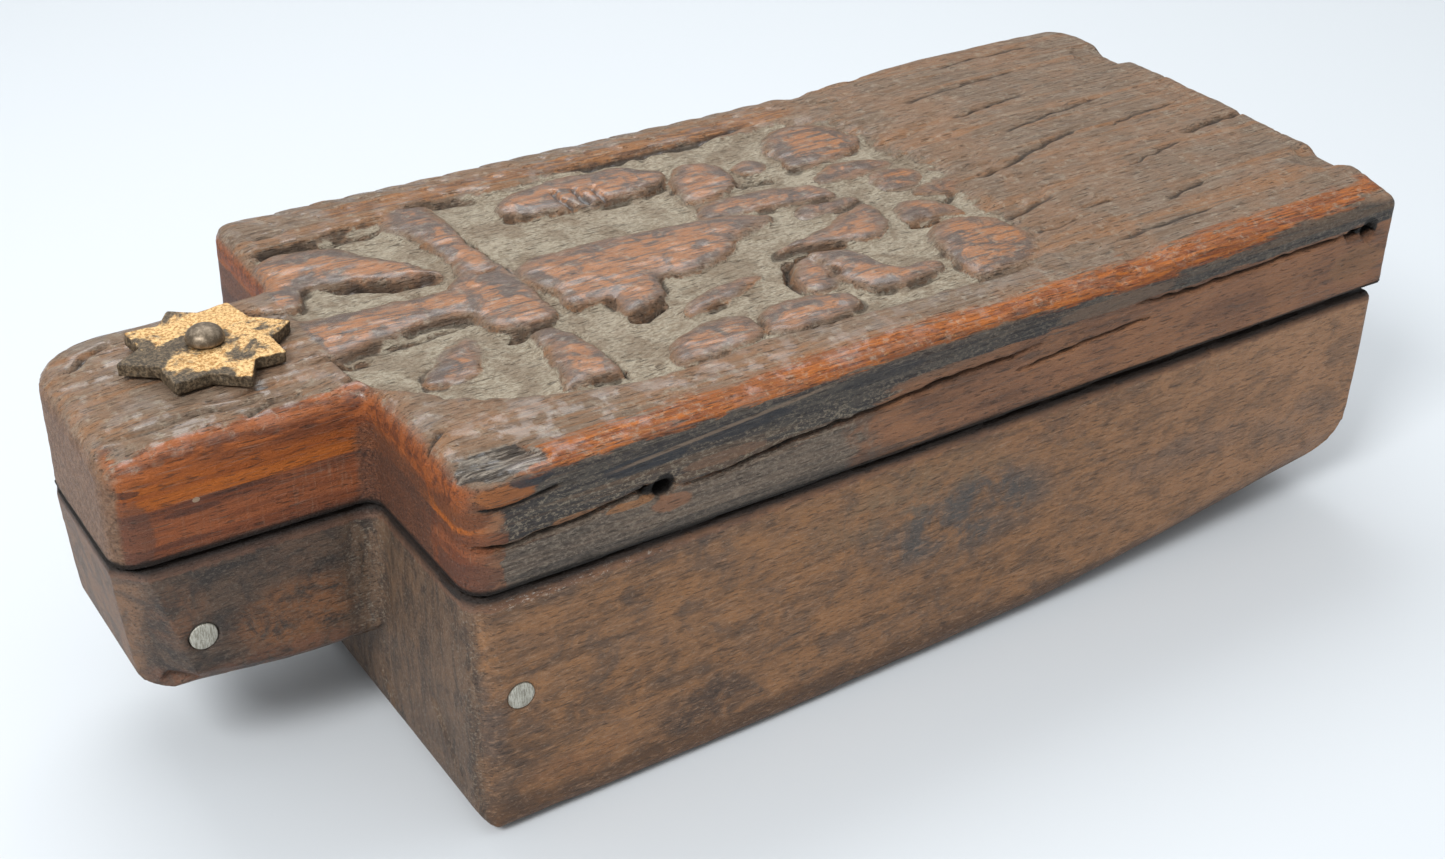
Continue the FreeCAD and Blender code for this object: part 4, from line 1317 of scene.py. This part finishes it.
    # dust packed into the ground of the carving and lying in the pores
    dust = ragged(tree, place, times(tree, mask(tree, "ground"), 0.95), 0.34, 0.9)
    cloud = noise(tree, place, 0.11, 3.0, 0.6, 0.5)
    colour = blend(tree, times(tree, dust, 0.93), colour, dustTones(tree, cloud, grit))
    film = times(tree, onTop, span(tree, noise(tree, place, 0.42, 5.0, 0.75), 0.50, 0.70))
    colour = blend(tree, times(tree, film, 0.45), colour, c["dustPale"])
    # painted shade: darkens the steep near-facing walls and the splits under the raised parts
    shade = ragged(tree, place, mask(tree, "creviceShade"), 0.45, 0.7)
    colour = blend(tree, times(tree, shade, 0.6), colour, rgb(0.040, 0.027, 0.019))
    splinter = times(tree, ragged(tree, place, mask(tree, "splinter"), 0.4, 0.8), 0.9)
    colour = blend(tree, splinter, colour, splinterTones(tree, streak, grit))
    colour = blend(tree, mask(tree, "underside"), colour, undersideTones(tree, place, y, grain))
    # pores, scratches and cracks go over everything; the dark in the cuts, cracks, peg holes and along the
    # lid's bottom edge at the joint is painted shade
    colour = blend(tree, times(tree, grain["Pores"], 0.55), colour, rgb(0.035, 0.022, 0.015))
    colour = blend(tree, times(tree, grain["Scratches"], 0.15), colour, rgb(0.5, 0.42, 0.34))
    colour = stain(tree, colour, mask(tree, "cuts"), 0.3, 0.95, 0.85, (0.030, 0.019, 0.013))
    colour = blend(tree, span(tree, mask(tree, "crack"), 0.35, 0.9), colour, c["recessShade"])
    colour = blend(tree, times(tree, mask(tree, "lowEdgeShade"), 0.95), colour, c["recessShade"])
    plug(tree, shader.inputs["Base Color"], colour)
    rough = plus(tree, 0.42, times(tree, grain["Fibres"], 0.2), times(tree, dust, 0.35))
    rough = minus(tree, rough, times(tree, span(tree, core, 0.1, 0.5), 0.16), clamp=True)
    plug(tree, shader.inputs["Roughness"], rough)
    shader.inputs["Specular IOR Level"].default_value = 0.32
    # hand polish on the high parts of the carved half
    handled = span(tree, noise(tree, place, 0.2, 3.0, 0.6), 0.46, 0.60)
    glossy = calc(tree, "MAXIMUM", handled, span(tree, core, 0.1, 0.7))
    polish = times(tree, glossy, onTop, minus(tree, 1.0, dust), span(tree, x, 70.0, 20.0, 0.2, 1.0),
                   span(tree, mask(tree, "creviceShade"), 0.4, 0.1))
    plug(tree, shader.inputs["Coat Weight"], times(tree, polish, 0.9))
    shader.inputs["Coat Roughness"].default_value = 0.22
    relief = plus(tree, grain["Height"], times(tree, grit, 0.8), times(tree, dust, cloud, 1.5),
                  times(tree, streak, 1.1))
    plug(tree, shader.inputs["Normal"], bump(tree, relief, 1.0, 0.7))
    return material


basePaint = {
    # patches on the neck's near side, and on the long near side
    "neckSpots": [
        ((-115, 37), (15, 8.5), 1.0, (0.215, 0.092, 0.040)),
        ((-139, 44.5), (6, 7.5), 0.85, (0.17, 0.082, 0.045)),
        ((-124, 28), (30, 3.4), 0.7, (0.19, 0.078, 0.042)),
        ((-116, 50), (8, 4.0), 0.5, (0.15, 0.088, 0.058)),
        ((-101, 42), (2.6, 16), 0.7, (0.028, 0.021, 0.017)),
    ],
    "sideSpots": [
        ((20, 36), (28, 11), 0.9, (0.080, 0.076, 0.072)),
        ((-4, 43), (20, 5), 0.4, (0.17, 0.125, 0.078)),
        ((12, 48), (24, 5), 0.45, (0.19, 0.140, 0.088)),
        ((-45, 12), (13, 8), 0.85, (0.055, 0.036, 0.028)),
        ((-92, 14), (9, 10), 0.6, (0.070, 0.046, 0.034)),
        ((-95, 28), (4.5, 12), 0.6, (0.085, 0.066, 0.058)),
        ((-86, 26), (4, 4), 0.5, (0.085, 0.064, 0.054)),
        ((-58, 53.5), (22, 1.6), 0.6, (0.070, 0.055, 0.048)),
        ((88, 30), (24, 5), 0.35, (0.14, 0.108, 0.092)),
        ((125, 26), (16, 7), 0.4, (0.15, 0.112, 0.090)),
        ((-80, 46), (14, 6), 0.5, (0.285, 0.135, 0.058)),
        ((45, 50), (24, 4), 0.5, (0.30, 0.140, 0.065)),
        ((-75, 11), (14, 4), 0.5, (0.26, 0.110, 0.042)),
    ],
}


def baseMaterial():
    c = basePaint
    material, tree, shader, place = newMaterial("baseHardwood")
    grain = grainOf(tree, place, 41.0)
    x, y, z = axesOf(tree, place)
    speckle = noise(tree, place, 1.2, 4.0, 0.75)
    grit = grainNoise(tree, place, (1.0, 1.6, 1.6), 4.0, 0.8)
    ticks = grainNoise(tree, place, (0.34, 1.2, 1.5), 4.0, 0.75, 0.3, turn=(0, -0.45, 0))
    scuff = grainNoise(tree, place, (0.10, 0.4, 0.6), 5.0, 0.7, 0.5, turn=(0, -0.35, 0))
    mottle = grainNoise(tree, place, (0.10, 0.16, 0.16), 5.0, 0.68, 0.8)
    wood = twoTone(tree, grain["Bands"], 0.38, 0.60, (0.155, 0.080, 0.040), (0.255, 0.128, 0.060))
    wood = stains(tree, wood, [
        (mottle, 0.48, 0.62, 0.65, (0.33, 0.155, 0.062)),
        (mottle, 0.48, 0.36, 0.55, (0.110, 0.074, 0.054))])
    paler = times(tree, span(tree, x, 20.0, 120.0), span(tree, mottle, 0.42, 0.60, 0.35, 0.9))
    wood = blend(tree, paler, wood, rgb(0.36, 0.185, 0.092))
    nearSide = span(tree, y, -48.0, -54.0)
    wood = paintSpots(tree, place, wood, c["sideSpots"], nearSide, 0.12, 0)
    # painted shade: darker towards the bottom edge and on faces turned down
    aboveFoot = minus(tree, z, times(tree, span(tree, x, 45.0, 145.0), base["farRise"]))
    lowEdgeShade = calc(tree, "MAXIMUM", span(tree, aboveFoot, 13.0, 2.0), mask(tree, "under"))
    bottomShade = times(tree, ragged(tree, place, lowEdgeShade, 0.1, 0.6), 0.7)
    wood = blend(tree, bottomShade, wood, rgb(0.080, 0.040, 0.021))
    wood = stains(tree, wood, [
        (scuff, 0.54, 0.66, 0.5, (0.085, 0.054, 0.038)),
        (ticks, 0.53, 0.64, 0.5, (0.37, 0.215, 0.125)),
        (ticks, 0.46, 0.36, 0.5, (0.070, 0.042, 0.028)),
        (grit, 0.56, 0.66, 0.35, (0.38, 0.28, 0.20))])
    # neck: almost black above, orange-brown towards the shoulder and the bottom
    neck = mask(tree, "neck")
    neckTone = twoTone(tree, mottle, 0.40, 0.64, (0.036, 0.030, 0.027), (0.095, 0.062, 0.044))
    neckTone = paintSpots(tree, place, neckTone, c["neckSpots"], span(tree, y, 10.0, -10.0), 0.2, 0)
    sideTone = twoTone(tree, mottle, 0.42, 0.58, (0.12, 0.075, 0.052), (0.21, 0.115, 0.066))
    neckTone = blend(tree, span(tree, x, -143.0, -147.0), neckTone, sideTone)
    neckTone = stains(tree, neckTone, [
        (grit, 0.50, 0.64, 0.5, (0.19, 0.15, 0.115)),
        (ticks, 0.47, 0.36, 0.5, (0.030, 0.022, 0.018))])
    wood = blend(tree, times(tree, neck, 0.95), wood, neckTone)
    walls = calc(tree, "MAXIMUM", mask(tree, "shoulderWall"), mask(tree, "innerCorner"))
    streaks = grainNoise(tree, place, (0.3, 0.3, 0.10), 6.0, 0.75, 0.8)
    wallTone = twoTone(tree, streaks, 0.40, 0.60, (0.045, 0.033, 0.026), (0.145, 0.088, 0.054))
    wallTone = stain(tree, wallTone, grit, 0.53, 0.63, 0.65, (0.27, 0.225, 0.17))
    wood = blend(tree, times(tree, walls, 0.85), wood, wallTone)
    edge = ragged(tree, place, mask(tree, "topEdge"), 0.5, 0.7)
    wood = blend(tree, times(tree, edge, 0.45), wood, rgb(0.20, 0.088, 0.050))
    chalk = times(tree, span(tree, grit, 0.56, 0.62), mask(tree, "topEdge"), nearSide,
                  span(tree, x, -50.0, -66.0), span(tree, x, -96.0, -90.0))
    wood = blend(tree, times(tree, chalk, 0.85), wood, rgb(0.60, 0.52, 0.44))
    hollow = mask(tree, "hollow")
    hollowTone = twoTone(tree, grain["Bands"], 0.38, 0.62, (0.16, 0.085, 0.045), (0.30, 0.175, 0.10))
    hollowTone = stain(tree, hollowTone, speckle, 0.5, 0.7, 0.35, (0.10, 0.065, 0.042))
    wood = blend(tree, times(tree, hollow, 0.85), wood, hollowTone)
    wood = blend(tree, times(tree, grain["Pores"], 0.5), wood, rgb(0.032, 0.020, 0.014))
    # painted shadow, near black, in the joint under the lid
    wood = blend(tree, times(tree, mask(tree, "jointShade"), 0.95), wood, rgb(0.013, 0.009, 0.007))
    plug(tree, shader.inputs["Base Color"], wood)
    rough = plus(tree, 0.40, times(tree, speckle, 0.25))
    plug(tree, shader.inputs["Roughness"], calc(tree, "ADD", rough, times(tree, hollow, 0.25), clamp=True))
    shader.inputs["Specular IOR Level"].default_value = 0.35
    relief = plus(tree, grain["Height"], times(tree, ticks, 0.9), times(tree, grit, 0.5))
    plug(tree, shader.inputs["Normal"], bump(tree, relief, 0.9, 0.45))
    return material


def brassMaterial():
    material, tree, shader, place = newMaterial("oldBrass")
    patch = noise(tree, place, 0.115, 5.0, 0.62, 0.4)
    speck = noise(tree, place, 1.5, 3.0, 0.75)
    gold = twoTone(tree, speck, 0.38, 0.60, (0.42, 0.21, 0.06), (0.86, 0.58, 0.28))
    dark = twoTone(tree, speck, 0.40, 0.65, (0.050, 0.034, 0.019), (0.19, 0.135, 0.080))
    # bright where it is handled: on upward faces, more to one side and less round the rivet
    upward = axesOf(tree, make(tree, "ShaderNodeNewGeometry").outputs["Normal"])[2]
    rubbed = plus(tree, patch, span(tree, axesOf(tree, place)[0], pivotX - 13, pivotX + 11, -0.09, 0.07))
    ringDark = spot(tree, place, (pivotX - 1.5, pivotY + 1.0, 0), (7.5, 5.5, 0))
    rubbed = minus(tree, rubbed, times(tree, ringDark, 0.05))
    bright = times(tree, span(tree, rubbed, 0.435, 0.515), span(tree, upward, 0.1, 0.7))
    plug(tree, shader.inputs["Base Color"], blend(tree, bright, dark, gold))
    plug(tree, shader.inputs["Metallic"], plus(tree, times(tree, bright, 0.35), 0.3))
    plug(tree, shader.inputs["Roughness"], plus(tree, 0.38, times(tree, speck, 0.3)))
    plug(tree, shader.inputs["Normal"], bump(tree, plus(tree, speck, times(tree, patch, 2.0)), 0.8, 0.35))
    return material


def bronzeMaterial():
    material, tree, shader, place = newMaterial("darkBronze")
    speck = noise(tree, place, 1.0, 4.0, 0.7)
    tone = twoTone(tree, speck, 0.4, 0.66, (0.12, 0.088, 0.058), (0.26, 0.20, 0.14))
    plug(tree, shader.inputs["Base Color"], tone)
    shader.inputs["Metallic"].default_value = 0.6
    plug(tree, shader.inputs["Roughness"], plus(tree, 0.28, times(tree, speck, 0.3)))
    plug(tree, shader.inputs["Normal"], bump(tree, speck, 0.4, 0.12))
    return material


def rodMaterial():
    material, tree, shader, place = newMaterial("filedRod")
    speck = noise(tree, place, 1.1, 4.0, 0.7)
    file = grainNoise(tree, place, (3.2, 1.0, 0.5), 3.0, 0.7, turn=(0, 0.6, 0))
    tone = twoTone(tree, file, 0.38, 0.60, (0.27, 0.25, 0.20), (0.52, 0.50, 0.43))
    tone = stain(tree, tone, speck, 0.52, 0.70, 0.5, (0.12, 0.10, 0.075))
    plug(tree, shader.inputs["Base Color"], tone)
    shader.inputs["Metallic"].default_value = 0.35
    plug(tree, shader.inputs["Roughness"], plus(tree, 0.42, times(tree, speck, 0.25)))
    plug(tree, shader.inputs["Normal"], bump(tree, file, 0.7, 0.12))
    return material


view = {
    "azimuth": -33.18,
    "elevation": 30.54,
    "roll": 1.15,
    "place": (-0.2275, -0.3465, 0.2764),
    "lens": 51.27,
}


def buildCamera():
    azimuth, elevation, roll = (math.radians(view[k]) for k in ("azimuth", "elevation", "roll"))
    back = Vector((math.sin(azimuth) * math.cos(elevation), -math.cos(azimuth) * math.cos(elevation),
                   math.sin(elevation)))
    right = Vector((math.cos(azimuth), math.sin(azimuth), 0))
    up = back.cross(right)
    turnedRight = right * math.cos(roll) + up * math.sin(roll)
    turnedUp = up * math.cos(roll) - right * math.sin(roll)
    data = bpy.data.cameras.new("camera")
    data.lens = view["lens"]
    data.sensor_width = 36.0
    data.clip_start = 0.01
    data.clip_end = 20.0
    camera = bpy.data.objects.new("camera", data)
    camera.matrix_world = Matrix((
        (turnedRight.x, turnedUp.x, back.x, view["place"][0]),
        (turnedRight.y, turnedUp.y, back.y, view["place"][1]),
        (turnedRight.z, turnedUp.z, back.z, view["place"][2]),
        (0, 0, 0, 1)))
    bpy.context.scene.collection.objects.link(camera)
    bpy.context.scene.camera = camera


def areaLight(name, place, target, size, power, spread, colour):
    data = bpy.data.lights.new(name, "AREA")
    data.shape = "RECTANGLE"
    data.size, data.size_y = size
    data.energy = power
    data.spread = math.radians(spread)
    data.color = colour
    lamp = bpy.data.objects.new(name, data)
    lamp.location = place
    lamp.rotation_euler = (Vector(target) - Vector(place)).to_track_quat("-Z", "Y").to_euler()
    bpy.context.scene.collection.objects.link(lamp)


def buildStage():
    bm = bmesh.new()
    bmesh.ops.create_grid(bm, x_segments=1, y_segments=1, size=6.0)
    floor = newPiece("floor", bm)
    material, tree, shader, _ = newMaterial("paleFloor")
    plug(tree, shader.inputs["Base Color"], rgb(0.63, 0.65, 0.67))
    shader.inputs["Roughness"].default_value = 0.75
    floor.data.materials.append(material)
    world = bpy.data.worlds.new("studio")
    world.use_nodes = True
    sky = world.node_tree
    upward = axesOf(sky, make(sky, "ShaderNodeTexCoord").outputs["Generated"])[2]
    backdrop = sky.nodes["Background"].inputs
    backdrop["Color"].default_value = rgb(0.92, 0.965, 1.0)
    plug(sky, backdrop["Strength"], span(sky, upward, -0.1, 0.9, 0.25, 0.90))
    bpy.context.scene.world = world
    areaLight("overheadBack", (0.15, 0.7, 1.15), (0.05, 0.1, 0.05), (1.2, 0.7), 2.6, 90, (0.95, 0.98, 1.0))
    areaLight("windowLeft", (-0.85, -0.45, 0.95), (-0.02, 0, 0.05), (0.4, 0.4), 3.2, 90, (0.97, 0.99, 1.0))


bpy.context.scene.view_settings.view_transform = "Standard"
buildCamera()
buildStage()
lidPiece = buildLid()
lidPiece.data.materials.append(lidMaterial())
basePiece = buildBase()
basePiece.data.materials.append(baseMaterial())
brass = brassMaterial()
bronze = bronzeMaterial()
rodMetal = rodMaterial()
buildStar().data.materials.append(brass)
buildRivet().data.materials.append(bronze)
buildRove().data.materials.append(brass)
buildRod("neckCrossRod", "neck_cross_rod").data.materials.append(rodMetal)
buildRod("shoulderCrossRod", "shoulder_cross_rod").data.materials.append(rodMetal)
print("metal pieces made")
